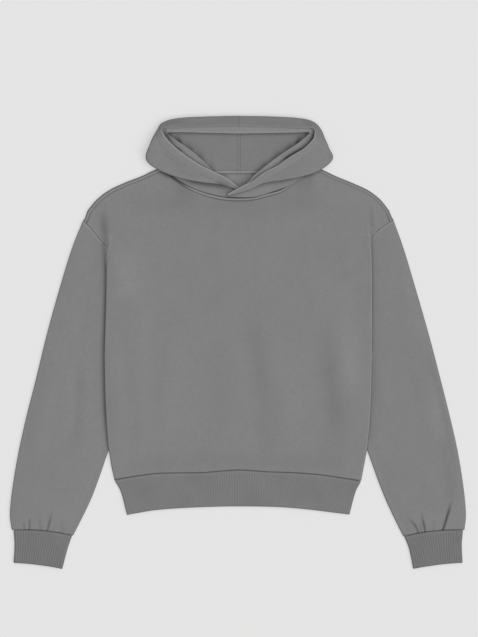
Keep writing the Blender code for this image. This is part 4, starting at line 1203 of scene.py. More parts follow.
        # Painted highlights: a light band between the two lines of the neck seam, and a light line along the
        # right side fold.
        band = np.maximum(np.abs(from_top - 2.7) - 0.8, 0.0) + 0.95 + 20 * (1 - neck_share)
        fold = np.abs(fold_distance(grid[..., :2]) - 1.4) + 1.1 + 20 * flat
        band = np.minimum(band, fold + 20 * (grid[..., 0] < 0))
        shade = np.clip(shade, *SHADE_RANGE)
        self.front = Panel("front_panel_cloth", grid, 1.0, seam, edge=band, shade=shade)
        self.front_marks = (from_top, places)
        piece = self.front.make(self.wardrobe.face, self.wardrobe.brushed)
        return settle(piece, ["front_panel"])

    def neck_share(self, columns: int, places: Array) -> Array:
        """1 in the columns between the neck points and 0 beside them."""
        first, last = NECK_COLUMNS
        share = smooth_step(first - 0.1, first + 0.4, places)
        share = share * (1 - smooth_step(last - 0.4, last + 0.1, places))
        side = (columns - len(places)) // 2
        return np.pad(share, (side, columns - len(places) - side))[None, :]

    def hidden_sleeve(self, y: Array) -> Array:
        """How far a sleeve reaches under the body's side fold."""
        inner = through(SLEEVE_LEFT, np.linspace(2, 6, 30))
        fold = side_line(Side.LEFT)[: CORNER_ROW + 1]
        width = np.maximum(inner[:, 2] - np.interp(inner[:, 3], fold[:, 1], fold[:, 0]), 0.0)
        return np.interp(y, inner[::-1, 3], width[::-1])

    def back_lines(self) -> tuple[Array, Array, Array, Array]:
        """The back's side lines: fold below the underarm and armhole above it."""
        table = np.array(SIDES, float)
        for columns, armhole in ((slice(0, 2), 0), (slice(2, 4), 1)):
            table[:, columns] = short_of_tip(table[:, columns], TIGHT_FOLD)
            for row, places in enumerate(BACK_ARMHOLE):
                table[UNDERARM_ROW + row, columns.start] = places[armhole]
        numbers = row_numbers(table[:, 0:2], self.pitch, SEWN, SEWN)
        fine = through(table, numbers)
        return fine[:, 0:2], fine[:, 2:4], fine[:, 4:7], numbers

    def make_back(self) -> Thing:
        """The back: flat below, raised over the sleeves, brought over the shoulders."""
        left_line, right_line, levels, numbers = self.back_lines()
        under, over = levels[:, 0].copy(), levels[:, 1]
        radius = np.maximum((over - under) / 2.0, TIGHT_FOLD)
        roll = 1 - smooth_step(UNDERARM_ROW - 1.0, float(UNDERARM_ROW), numbers)
        low = smooth_step(UNDERARM_ROW + 0.0, UNDERARM_ROW + 1.6, numbers)
        under = under * (1 - low) + FLOOR_LAYER * low
        clear = SEAM * smooth_step(UNDERARM_ROW - 0.5, UNDERARM_ROW + 1.0, numbers)
        inset = (roll * radius + (1 - roll) * (self.strip + clear))[:, None]
        out_left, out_right = plan_normals(left_line, 1.0), plan_normals(right_line, -1.0)
        left, right = left_line - out_left * inset, right_line - out_right * inset
        places = row_numbers(np.array(TOP)[:, 0:2], self.pitch, PLAIN, PLAIN, NECK_COLUMNS)
        lines = in_stretches(TOP, places, NECK_COLUMNS)
        fold_line, seam_line = lines[:, 0:2], lines[:, 2:4]
        neck = (places > NECK_COLUMNS[0] + 0.02) & (places < NECK_COLUMNS[1] - 0.02)
        across = unit(fold_line - seam_line)
        shoulder = 1 - smooth_step(0.0, 0.6, np.minimum(places - NECK_COLUMNS[0], NECK_COLUMNS[1] - places))
        top = fold_line - across * TIGHT_FOLD * shoulder[:, None]
        top = np.concatenate([left[-1:], top, right[-1:]])
        bottom = hem_points(run(top) / run(top)[-1])
        bottom[0], bottom[-1] = left[0], right[0]
        bottom[1:-1, 1] += SEAM / 2
        plan = patch(bottom, top, left, right)
        inside = fold_distance(plan)
        start = np.maximum(self.hidden_sleeve(plan[..., 1]) + self.ramp_start, 8.0)
        ramp = 1 - smooth_step(0.0, self.ramp_width * 1.25, inside - start)
        height = FLOOR_LAYER + (under - FLOOR_LAYER)[:, None] * ramp
        main = np.concatenate([plan, height[..., None]], axis=-1)
        sides = (
            self.margin(left, out_left, radius, roll, under, 1.0)[::-1],
            self.margin(right, out_right, radius, roll, under, 1.0),
        )
        grid = np.concatenate([np.stack(sides[0], 1), main, np.stack(sides[1], 1)], axis=1)
        from_top = run(grid[::-1], 0)[::-1]
        inner = smooth_step(25.0, 60.0, fold_distance(grid[..., :2])) * smooth_step(6.0, 40.0, from_top)
        lift = np.zeros(grid.shape[:2])
        for crease in BACK_CREASES:
            lift = lift + np.maximum(crease.relief(grid[..., :2]), 0.0)
        grid[..., 2] += np.minimum(lift * inner, 1.0)
        margin = self.roll_steps
        ends = []
        for station, tip, side in ((TOP[0], left_line[-1], Side.LEFT), (TOP[-1], right_line[-1], Side.RIGHT)):
            way = unit(np.array(station[0:2]) - tip)
            ends.append(np.array([way[1], -way[0]]) * side.sign)
        out = np.concatenate([[ends[0]] * (margin + 1), across, [ends[1]] * (margin + 1)])
        reach = np.linalg.norm(fold_line - seam_line, axis=1) - 2 * SEAM
        reach = np.concatenate([[self.tip_lap] * (margin + 1), reach, [self.tip_lap] * (margin + 1)])
        flat = np.concatenate([[False] * (margin + 1), neck, [False] * (margin + 1)])
        rows = len(grid) - 1
        wrap = self.shoulder_wrap(grid[-1], out, reach)
        grid = np.concatenate([grid, wrap])
        from_edge = run(grid[::-1], 0)[::-1]
        wrapped = (~flat)[None, :] & (np.arange(len(grid)) >= rows - 2)[:, None]
        relief = np.where(wrapped, joined_relief(from_edge), 0.0)
        grid = grid - normals(grid) * relief[..., None]
        cells = np.ones((len(grid) - 1, grid.shape[1] - 1), bool)
        cells[rows:] = ~(flat[1:] | flat[:-1])
        from_side = np.minimum(run(grid, 1), run(grid[:, ::-1], 1)[:, ::-1])
        unrolled = np.concatenate([roll, np.zeros(len(wrap))])[:, None] * 20
        seam = np.minimum(np.minimum(from_edge, run(grid, 0)), from_side + unrolled)
        # A painted highlight along the lap that comes over the shoulder, then the painted light and shade
        # below.
        lap_highlight = np.where(wrapped, 1.35, 20.0)
        shade = NECK_PAINTED_LIGHT.relief(grid[..., :2])
        turned = np.zeros((len(grid), 1))
        first = rows + SHOULDER_TURN
        turned[first:first + len(SHOULDER_PAINTED_SHADE), 0] = SHOULDER_PAINTED_SHADE
        shade = shade + turned * (~flat)[None, :]
        panel = Panel("back_panel_cloth", grid, -1.0, seam, edge=lap_highlight, shade=shade, cells=cells)
        piece = panel.make(self.wardrobe.face, self.wardrobe.brushed)
        return settle(piece, ["back_panel"])

    def shoulder_wrap(self, last_row: Array, out: Array, reach: Array) -> Array:
        """The rows that take the back over the shoulder, reach inside the silhouette."""
        rows = []
        for degrees in np.linspace(0.0, 180.0, 11)[1:]:
            angle = np.radians(degrees)
            place = last_row[:, :2] + out * TIGHT_FOLD * np.sin(angle)
            rise = TIGHT_FOLD * (1.0 - np.cos(angle))
            rows.append(np.concatenate([place, last_row[:, 2:] + rise], axis=-1))
        for share in (0.3, 0.6, 0.8, 0.92, 1.0):
            place = last_row[:, :2] + out * ((TIGHT_FOLD - reach) * share)[:, None]
            rows.append(np.concatenate([place, last_row[:, 2:] + 2 * TIGHT_FOLD], axis=-1))
        return np.stack(rows)


# ---------------------------------------------------------------- tubes


def arc(edge: Array, out: Array, radius: float, degrees: Any) -> Array:
    """Points of a fold's bend; 0 leaves the floor layer and 180 joins the top layer."""
    angle = np.radians(np.asarray(degrees, float))
    plan = edge + out * (radius * (np.sin(angle) - 1.0))[:, None]
    z = FLOOR_LAYER + radius * (1.0 - np.cos(angle))
    return np.concatenate([plan, z[:, None]], axis=-1)


LEFT_SLEEVE_CREASES = (
    Crease(((-283, -20), (-285, -70), (-287, -130), (-296, -200)), 13, -1.1, 0.35, 0.3),
    Crease(((-330, -40), (-342, -120), (-358, -210)), 16, 0.7, 0.0, 0.3),
    Crease(((-262, 120), (-274, 40), (-280, -20)), 16, -0.5, 0.3, 0.3),
    Crease(((-324, -290), (-329, -310), (-334.5, -333)), 2.5, -0.62, 0.3, 0.6, 0.35),
    Crease(((-364, -300), (-365, -316), (-365, -332)), 2.5, -0.5, -0.3, 0.6, 0.35),
    Crease(((-377, -308), (-374.5, -320), (-371.5, -332)), 2.8, -0.28, 0.3, 0.6, 0.35),
    Crease(((-345, -298), (-347, -315), (-343, -334)), 4.0, -0.2, 0.3, 0.6, 0.4),
    Crease(((-306, -306), (-309, -336)), 3.8, -0.15, -0.3, 0.6, 0.4),
    Crease(((-243, 150), (-262, 132), (-290, 118)), 9, -0.5, 0.3, 0.35),
    Crease(((-238, 60), (-262, 36), (-300, 22)), 10, -0.35, 0.3, 0.35),
)
RIGHT_SLEEVE_CREASES = (
    Crease(((303, 30), (319, -20), (336, -60), (356, -120), (366, -180), (379, -262)), 13, -1.1, -0.35, 0.25),
    Crease(((247, -20), (250, -72), (262, -130)), 13, 0.8, 0.0, 0.35),
    Crease(((373, -272), (370, -287), (363.3, -310.5), (357, -331)), 2.9, -1.0, 0.3, 0.5, 0.3),
    Crease(((319, -294), (323.5, -312), (328, -334)), 2.5, -0.8, 0.3, 0.6, 0.35),
    Crease(((293, -304), (305, -314), (311, -322), (317, -336)), 2.9, -0.65, 0.3, 0.6, 0.35),
    Crease(((315, -310), (318.5, -322), (321.5, -334)), 3.4, -0.3, -0.3, 0.6, 0.4),
    Crease(((343, -304), (341, -333)), 3.6, -0.15, 0.3, 0.6, 0.4),
    Crease(((280, 130), (300, 60), (318, -10)), 15, 0.5, 0.0, 0.3),
    Crease(((244, 160), (262, 140), (292, 124)), 9, -0.5, -0.3, 0.35),
)
# Painted shade of the sleeves beside their creases and the body's fold, drawn as the front's is.
LEFT_SLEEVE_PAINTED_SHADE = (
    painted_stroke(((-231.5, 158), (-231, 134), (-230.5, 120)), 2.6, 0.2, 0.4),
)
RIGHT_SLEEVE_PAINTED_SHADE = (
    painted_stroke(((296, 20), (318, -60), (324, -120)), 14.0, 0.06, 0.3),
    painted_stroke(((352, -150), (364, -215), (372, -262), (374, -300)), 11.0, 0.1, 0.25),
)
UNDERARM_CLOSING = {
    # low_y, high_y, how far the sleeve closes up to the armhole there
    Side.LEFT: (148, 171, 0.85),
    Side.RIGHT: (152, 186, 0.65),
}
UNDER_SLEEVE_CREASES = (
    Crease(((290, 60), (310, -60), (335, -180)), 14, 0.7, 0.2, 0.3),
    Crease(((350, -270), (346, -330)), 5, 0.8, 0.2, 0.3),
    Crease(((318, -280), (314, -332)), 5, 0.7, 0.2, 0.3),
    Crease(((376, -280), (378, -329)), 5, 0.6, 0.2, 0.3),
)


@dataclass
class Sleeve:
    """One sleeve: a tube of cloth lying flat, its cap sewn to the body."""

    wardrobe: Wardrobe
    side: Side
    pitch: float = 3.4
    across: int = 58
    hidden: int = 5            # columns that lie under the body's side fold
    turn_steps: int = 9
    crease_painted_shade: float = 0.78  # painted shade in a cuff crease for each millimetre of its depth

    def make(self) -> Thing:
        """Model the sleeve."""
        table = np.array(SLEEVE_LEFT if self.side is Side.LEFT else SLEEVE_RIGHT)
        numbers = row_numbers(table[:, 0:4], self.pitch, SEWN, SEWN)
        rows = through(table, numbers)
        outer, inner, front = rows[:, 0:2], rows[:, 2:4], rows[:, 4]
        radius = (front - FLOOR_LAYER) / 2
        line = side_line(self.side)
        fold = line[: CORNER_ROW + 1]
        width = np.abs(outer[:, 0] - inner[:, 0])
        reach = np.abs(np.interp(inner[:, 1], fold[:, 1], fold[:, 0])) - np.abs(inner[:, 0]) + 3.0
        crest = 1.0 - np.maximum(reach, 7.0) / width
        steps = np.linspace(0.0, 1.0, self.across)
        rest = np.linspace(0.0, 1.0, self.hidden + 1)[1:]
        outside = crest[:, None] * steps
        shares = np.concatenate([outside, crest[:, None] + (1 - crest)[:, None] * rest], axis=1)
        hump = np.concatenate([1 - np.abs(2 * steps - 1) ** 2.6, 0 * rest])
        crown = rows[:, 5:6] * hump
        bow = np.interp(numbers, [0, 2, 8, 9], [0, 0, 3.0, 3.5])
        up = unit(-np.gradient((inner + outer) / 2, axis=0))
        bend = up[:, None] * (bow[:, None] * 4 * shares * (1 - shares))[..., None]
        out_outer, out_inner = outward_plan(outer, inner), outward_plan(inner, outer)
        closing = smooth_step(2.9, 3.4, numbers)
        part = np.linspace(1.0, 0.0, self.turn_steps // 2 + 2)[:-1]
        grid = []
        for i, r in enumerate(radius):
            start, stop = outer[i] - out_outer[i] * r, inner[i] - out_inner[i] * r
            plan = start + (stop - start) * shares[i][:, None] + bend[i]
            top = np.concatenate([plan, (FLOOR_LAYER + 2 * r + crown[i])[:, None]], axis=-1)
            floor = np.concatenate([plan, np.full((len(plan), 1), FLOOR_LAYER)], axis=-1)[::-1]
            turn = arc(outer[i], out_outer[i], r, np.linspace(0, 180, self.turn_steps + 2)[1:-1])
            gap = np.degrees(SEAM / 2 / r)
            angle = part * (90 - gap)
            lower = arc(inner[i], out_inner[i], r, angle)
            upper = arc(inner[i], out_inner[i], r, 180 - angle)[::-1]
            out = np.append(out_inner[i], 0.0) * r
            flat_low = floor[:1] + out * part[:, None]
            flat_high = top[-1:] + out * part[::-1, None]
            lower = flat_low + (lower - flat_low) * closing[i]
            upper = flat_high + (upper - flat_high) * closing[i]
            grid.append(np.concatenate([lower, floor, turn, top, upper]))
        grid = np.array(grid)
        first, layer = len(part), shares.shape[1]
        low = slice(first, first + layer)
        high = slice(first + layer + self.turn_steps, first + 2 * layer + self.turn_steps)
        armhole = short_of_tip(short_of_tip(line, TIGHT_FOLD)[CORNER_ROW:][::-1], TIGHT_FOLD)
        normal = plan_normals(armhole[::-1], -self.side.sign)[::-1]
        cap = along(armhole, shares[0]) + np.stack(
            [np.interp(shares[0], run(armhole) / run(armhole)[-1], n) for n in normal.T], axis=-1
        ) * SEAM
        fade = 1 - smooth_step(0.0, 45.0, run((inner + outer) / 2))
        shift = (cap - grid[0, high, :2])[None] * fade[:, None, None]
        grid[:, high, :2] += shift
        grid[:, low, :2] += shift[:, ::-1]
        around = np.concatenate([shares[:, ::-1], np.zeros((len(rows), self.turn_steps)), shares], axis=1)
        around = np.pad(around, ((0, 0), (first, first)), mode="edge")
        inward, edge = (1 - around) * width[:, None], around * width[:, None]
        low_y, high_y, close = UNDERARM_CLOSING[self.side]
        y = grid[..., 1]
        bump = smooth_step(low_y, low_y + 12, y) * (1 - smooth_step(high_y - 5, high_y, y))
        grid[..., 0] -= self.side.sign * close * bump * np.exp(-((inward / 4.0) ** 2))
        from_cap, from_cuff = run(grid, 0), run(grid[::-1], 0)[::-1]
        relief = joined_relief(from_cap) + joined_relief(from_cuff) * 0.8
        on_top = np.zeros(grid.shape[:2])
        on_top[:, first + layer + self.turn_steps // 2:] = 1.0
        creases = LEFT_SLEEVE_CREASES if self.side is Side.LEFT else RIGHT_SLEEVE_CREASES
        calm = smooth_step(0.0, 12.0, edge) * smooth_step(0.0, 4.0, from_cuff)
        for crease in creases:
            relief = relief + crease.relief(grid[..., :2]) * on_top * calm * 1.9
        seed = 11 if self.side is Side.LEFT else 12
        relief = relief + ripple(grid, seed, 110.0, 22.0) * 0.15 * on_top * calm
        outward = 1.0 if self.side is Side.LEFT else -1.0
        grid = grid - normals(grid) * outward * relief[..., None]
        for crease in UNDER_SLEEVE_CREASES:
            flipped = np.stack([grid[..., 0] * self.side.sign, grid[..., 1]], axis=-1)
            grid[..., 2] += np.maximum(crease.relief(flipped), 0.0) * (1 - on_top) * calm * 0.5
        grid[..., 2] = np.maximum(grid[..., 2], FLOOR_LAYER - 0.15)
        seam = np.minimum(from_cap, from_cuff)
        # A painted highlight along a line just beside the armhole seam.
        light = np.maximum(np.abs(from_cap - 2.7) - 0.6, 0.0) + 1.1
        # Painted shade: the shadow of the body's side fold, dark lines in the armhole and cuff seams, the
        # cuff creases and the strokes.
        shade = self.painted_fold_shadow(grid[..., :2]) * on_top
        shade = shade + PLAIN_SEAM_PAINTED_SHADE * line_of(from_cap, 0.0, 1.0)
        shade = shade + RIB_SEAM_PAINTED_SHADE * line_of(from_cuff, 0.0, 1.1)
        for crease in creases:
            if crease.taper:
                depth = np.minimum(crease.relief(grid[..., :2]), 0.0)
                shade = shade - self.crease_painted_shade * depth * on_top
        for tone in LEFT_SLEEVE_PAINTED_SHADE if self.side is Side.LEFT else RIGHT_SLEEVE_PAINTED_SHADE:
            shade = shade + tone.relief(grid[..., :2]) * on_top
        panel = Panel(f"sleeve_{self.side.value}_cloth", grid, -outward, seam, edge=light, shade=shade)
        piece = panel.make(self.wardrobe.face, self.wardrobe.brushed)
        return settle(piece, [f"sleeve_{self.side.value}"])

    def painted_fold_shadow(self, points: Array) -> Array:
        """The painted shadow that the body's side fold, which lies over it, casts on the sleeve."""
        fold = side_line(self.side)[: CORNER_ROW + 1]
        off = self.side.sign * (points[..., 0] - np.interp(points[..., 1], fold[:, 1], fold[:, 0]))
        reach = smooth_step(-190.0, -120.0, points[..., 1]) * (1 - smooth_step(170.0, 200.0, points[..., 1]))
        if self.side is Side.LEFT:
            return reach * (0.24 * line_of(off, 2.5, 4.5) + 0.1 * line_of(off, 0.0, 13.0))
        return reach * (0.24 * line_of(off, 1.6, 1.9) + 0.05 * line_of(off, 0.0, 10.0))


def rib_form(number: Array) -> Array:
    """Height of rib knit, from 0 in a valley to 1 on a ridge; one rib for each whole number."""
    return np.abs(np.sin(np.pi * number)) ** 0.75


@dataclass
class RibTube:
    """A ribbed tube lying flat, sewn to the cloth above it."""

    name: str
    node: str
    wardrobe: Wardrobe
    outer: Array           # the tube's outer fold, section by section
    inner: Array
    crown: Sequence[float]
    radius: float
    bow: Callable[[Array, Array], Array]
    pitch: float = 4.3
    height: float = 0.7
    per_rib: int = 6
    row_pitch: float = 2.6
    # how much darker the whole tube is, on its faces that look up; below nothing it is lighter
    shade: float = 0.0

    def make(self) -> Thing:
        """Model the tube."""
        table = np.concatenate([self.outer, self.inner], axis=1)
        numbers = row_numbers(table[:, 0:2], self.row_pitch, SEWN[:6], PLAIN)
        lines = through(table, numbers)
        outer, inner = lines[:, 0:2], lines[:, 2:4]
        crown = through(np.array(self.crown)[:, None], numbers)[:, 0]
        ribs = int(round(np.linalg.norm(self.inner[1] - self.outer[1]) / self.pitch))
        shares = np.linspace(0.0, 1.0, ribs * self.per_rib + 1)
        out_outer, out_inner = outward_plan(outer, inner), outward_plan(inner, outer)
        turn = np.linspace(0.0, 180.0, 11)[1:-1]
        r = self.radius
        grid = []
        for i, number in enumerate(numbers):
            start, stop = outer[i] - out_outer[i] * r, inner[i] - out_inner[i] * r
            plan = start + (stop - start) * shares[:, None] + self.bow(np.array([number]), shares)
            z = FLOOR_LAYER + 2 * r + crown[i] * (1 - np.abs(2 * shares - 1) ** 2.8)
            top = np.concatenate([plan, z[:, None]], axis=-1)
            floor = np.concatenate([plan, np.full((len(plan), 1), FLOOR_LAYER)], axis=-1)[::-1]
            first = arc(outer[i], out_outer[i], r, turn)
            second = arc(inner[i], out_inner[i], r, turn[::-1])
            half = len(floor) // 2
            grid.append(np.concatenate([floor[half:], first, top, second, floor[:half + 1]]))
        grid = np.array(grid)
        columns = np.arange(grid.shape[1])
        half = len(shares) - len(shares) // 2
        rib = (columns - half - len(turn)) / self.per_rib
        wobble = ripple(grid, 21 + len(self.name), 60.0, 14.0) * 0.045
        lengthwise = run(grid, 0)
        from_seam, from_end = lengthwise, lengthwise[-1:] - lengthwise
        number = rib[None, :] + wobble * smooth_step(0.0, 12.0, from_seam)
        depth = self.height * (0.75 + 0.25 * smooth_step(0.0, 14.0, from_seam))
        form = rib_form(number) * depth
        turning = np.zeros(grid.shape[1])
        on_top = (columns >= half + len(turn)) & (columns < half + len(turn) + len(shares))
        floor_side = (columns < half) | (columns >= half + 2 * len(turn) + len(shares))
        turning[on_top | floor_side] = 1.0
        relief = (form - 0.2) * turning[None, :] + joined_relief(from_seam) * 0.8
        relief = relief - 0.35 * np.exp(-((from_end / 1.0) ** 2))
        relief = relief + ripple(grid, 31 + len(self.name), 90.0, 24.0) * 0.2 * on_top[None, :]
        area = np.cross(self.inner[0] - self.outer[0], self.inner[-1] - self.inner[0])
        outward = 1.0 if area > 0 else -1.0
        pressed = np.minimum(relief, 0.0) + (form - self.height) * 0.6
        relief = np.where(floor_side[None, :], pressed, relief)
        grid = grid + normals(grid, True) * outward * relief[..., None]
        grid[..., 2] = np.maximum(grid[..., 2], FLOOR_LAYER)
        grid[:, -1] = grid[:, 0]
        # Painted shade in the seam's groove with a painted highlight just below it, and a dark painted line
        # along the bottom edge.
        shade = self.shade + 0.2 * line_of(from_seam, 0.0, 1.0) - 0.1 * line_of(from_seam, 2.6, 1.0)
        shade = shade + 0.4 * line_of(from_end, 0.0, 1.1)
        shade = np.clip(shade, *SHADE_RANGE)
        panel = Panel(self.name, grid, outward, from_seam, rib=number, shade=shade, closed=True)
        piece = panel.make(self.wardrobe.rib, self.wardrobe.rib)
        return settle(piece, [self.node])


@dataclass
class Cuff:
    """The ribbed cuff of one sleeve."""

    wardrobe: Wardrobe
    side: Side
    bows: tuple[float, ...] = CUFF_BOW

    def make(self) -> Thing:
        """Model the cuff."""
        rows = np.array(CUFF_LEFT if self.side is Side.LEFT else CUFF_RIGHT)
        outer, inner = rows[:, 0:2], rows[:, 2:4]
        up = unit(-np.gradient((inner + outer) / 2, axis=0))

        def bow(number: Array, share: Array) -> Array:
            """How far a row bulges towards the arm."""
            way = through(up, number)
            lift = np.interp(number, [0, 1, 2], self.bows)
            return way * (lift * 4 * share * (1 - share))[:, None]

        tube = RibTube(
            f"cuff_{self.side.value}_rib", f"cuff_{self.side.value}", self.wardrobe,
            outer, inner, (0.4, 0.8, 0.6), 1.4, bow, shade=0.065,
        )
        return tube.make()


@dataclass
class Waistband:
    """The ribbed band below the hem seam."""

    wardrobe: Wardrobe

    def make(self) -> Thing:
        """Model the band."""
        rows = np.array(BAND_SIDES)

        def off_chord(table: Any, share: Array) -> Array:
            """How far a line lies from the straight line between its ends."""
            line = along(through(table, np.linspace(0, len(table) - 1, 300)), share)
            return line - (line[0] + (line[-1] - line[0]) * share[:, None])

        def bow(number: Array, share: Array) -> Array:
            """How far a row lies from its straight line."""
            top, bottom = off_chord(HEM_SEAM, share), off_chord(HEM_BOTTOM, share)
            return top + (bottom - top) * np.interp(number, [0, 1, 2], [0, 0.4, 1.0])[:, None]

        tube = RibTube(
            "waistband_rib", "waistband", self.wardrobe, rows[:, 0:2], rows[:, 2:4],
            (0.5, 1.0, 0.8), 1.5, bow, per_rib=5, height=0.45, shade=-0.02,
        )
        return tube.make()


# ---------------------------------------------------------------- hood

LEFT_HOOD_CREASES = (
    Crease(((-134, 322), (-104, 322), (-78, 306)), 5.0, -0.5, 0.4, 0.4),
    Crease(((-60, 286), (-36, 276), (-16, 268)), 4.0, -0.4, 0.4, 0.4),
    Crease(((-96, 384), (-60, 385), (-20, 387)), 4.0, -0.35, 0.3, 0.4),
    Crease(((-146, 346), (-132, 338), (-112, 336)), 4.0, -0.4, -0.4, 0.4),
)
RIGHT_HOOD_CREASES = (
    Crease(((140, 318), (108, 320), (80, 304)), 5.0, -0.5, -0.4, 0.4),
    Crease(((64, 290), (40, 280), (18, 270)), 4.0, -0.4, -0.4, 0.4),
    Crease(((96, 384), (60, 385), (24, 387)), 4.0, -0.35, -0.3, 0.4),
    Crease(((150, 344), (136, 336), (116, 330)), 4.0, -0.4, 0.4, 0.4),
)

# Painted shade and painted light on each layer of a half, drawn as the front's are: shadows in the gaps under
# its rims, lips and flap, highlights along its lips.
LEFT_HOOD_PAINTED_SHADE = {
    "inside": (
        painted_stroke(((-128, 368), (-106, 352), (-84.4, 337.7), (-55, 314), (-38, 300)), 4.0, 0.4, 0.15),
        painted_stroke(((-122, 365), (-112, 357), (-96, 346), (-84, 338)), 3.6, 0.45, 0.3),
        painted_stroke(((-112, 362), (-84, 344), (-60, 322)), 14.0, 0.07, 0.3),
        painted_stroke(((-120, 363.5), (-60, 363), (0, 362.5)), 3.0, 0.16, 0.2),
    ),
    "strip": (
        painted_stroke(((-131, 376), (-123, 360), (-111, 344), (-94, 330)), 3.6, 0.72, 0.25),
        painted_stroke(((-112, 345), (-66.5, 312), (-26, 292)), 2.4, 0.3, 0.2),
        painted_stroke(((-124, 358), (-90, 333), (-60, 309)), 3.2, -0.14, 0.2),
    ),
    "under": (
        painted_stroke(((-104, 288), (-66, 279), (-36, 275), (-6, 268)), 5.0, 0.55, 0.3),
    ),
    "flap": (
        painted_stroke(((-46, 280), (-28, 275), (-8, 268)), 6.5, 0.42, 0.4),
        painted_stroke(((-136, 334), (-112, 316), (-80, 296), (-50, 285)), 7.0, 0.05, 0.3),
        painted_stroke(((-122, 348), (-98, 326), (-60, 303), (-30, 290)), 5.0, -0.04, 0.3),
        painted_stroke(((-150, 349), (-158, 330), (-152, 312)), 7.0, 0.05, 0.4),
        painted_stroke(((-140, 352), (-126, 331), (-104, 313), (-84, 302)), 3.0, 0.055, 0.3),
        painted_stroke(((-112, 308), (-92, 295), (-66, 288)), 4.0, 0.06, 0.3),
        painted_stroke(((-72, 300), (-56, 291), (-40, 285)), 4.0, 0.06, 0.3),
        painted_stroke(((-133, 372), (-124, 382), (-108, 386), (-84, 386)), 3.4, 0.16, 0.4),
        painted_stroke(((-118, 378), (-80, 381), (-30, 382)), 2.6, 0.05, 0.3),
    ),
}
RIGHT_HOOD_PAINTED_SHADE = {
    "inside": (
        painted_stroke(((128, 367), (110, 354), (90.3, 339.5), (54, 313), (22, 287)), 3.6, 0.3, 0.15),
        painted_stroke(((124, 366), (114, 358), (100, 347), (86, 337)), 3.6, 0.45, 0.3),
        painted_stroke(((112, 362), (84, 344), (60, 322)), 14.0, 0.06, 0.3),
        painted_stroke(((120, 363.5), (60, 363), (0, 362.5)), 3.0, 0.16, 0.2),
    ),
    "strip": (
        painted_stroke(((135, 378), (132, 360), (120, 343), (92, 327), (72, 313)), 4.2, 0.85, 0.22),
        painted_stroke(((94, 327), (58.5, 303), (22, 280)), 3.0, 0.36, 0.2),
        painted_stroke(((122, 358), (92, 334), (60, 311), (34, 290)), 3.4, -0.2, 0.2),
    ),
    "under": (
        painted_stroke(((110, 289), (75, 282), (45, 277), (18, 265)), 4.0, 0.2, 0.3),
    ),
    "flap": (
        painted_stroke(((156, 345), (162, 326), (154, 312)), 7.0, 0.05, 0.4),
        painted_stroke(((134, 374), (124, 383), (108, 386)), 4.4, 0.12, 0.4),
        painted_stroke(((118, 379), (70, 384), (24, 383)), 2.6, 0.05, 0.3),
        painted_stroke(((138, 330), (112, 312), (82, 294), (50, 281)), 7.0, 0.04, 0.3),
        painted_stroke(((124, 342), (98, 322), (62, 300), (34, 284)), 5.0, -0.04, 0.3),
    ),
}


# A section's points are close together at the seam, the stitches and the rim.
NECK_STEPS = (0.0, 0.8, 1.6, 2.8, 4.2, 5.2, 5.8, 6.4, 7.6, 10.0)    # millimetres
HEM_STEPS = (1.25, 1.12, 1.06, 1.0, 0.95, 0.9, 0.8, 0.65, 0.5, 0.35, 0.22, 0.12, 0.06, 0.03, 0.0)


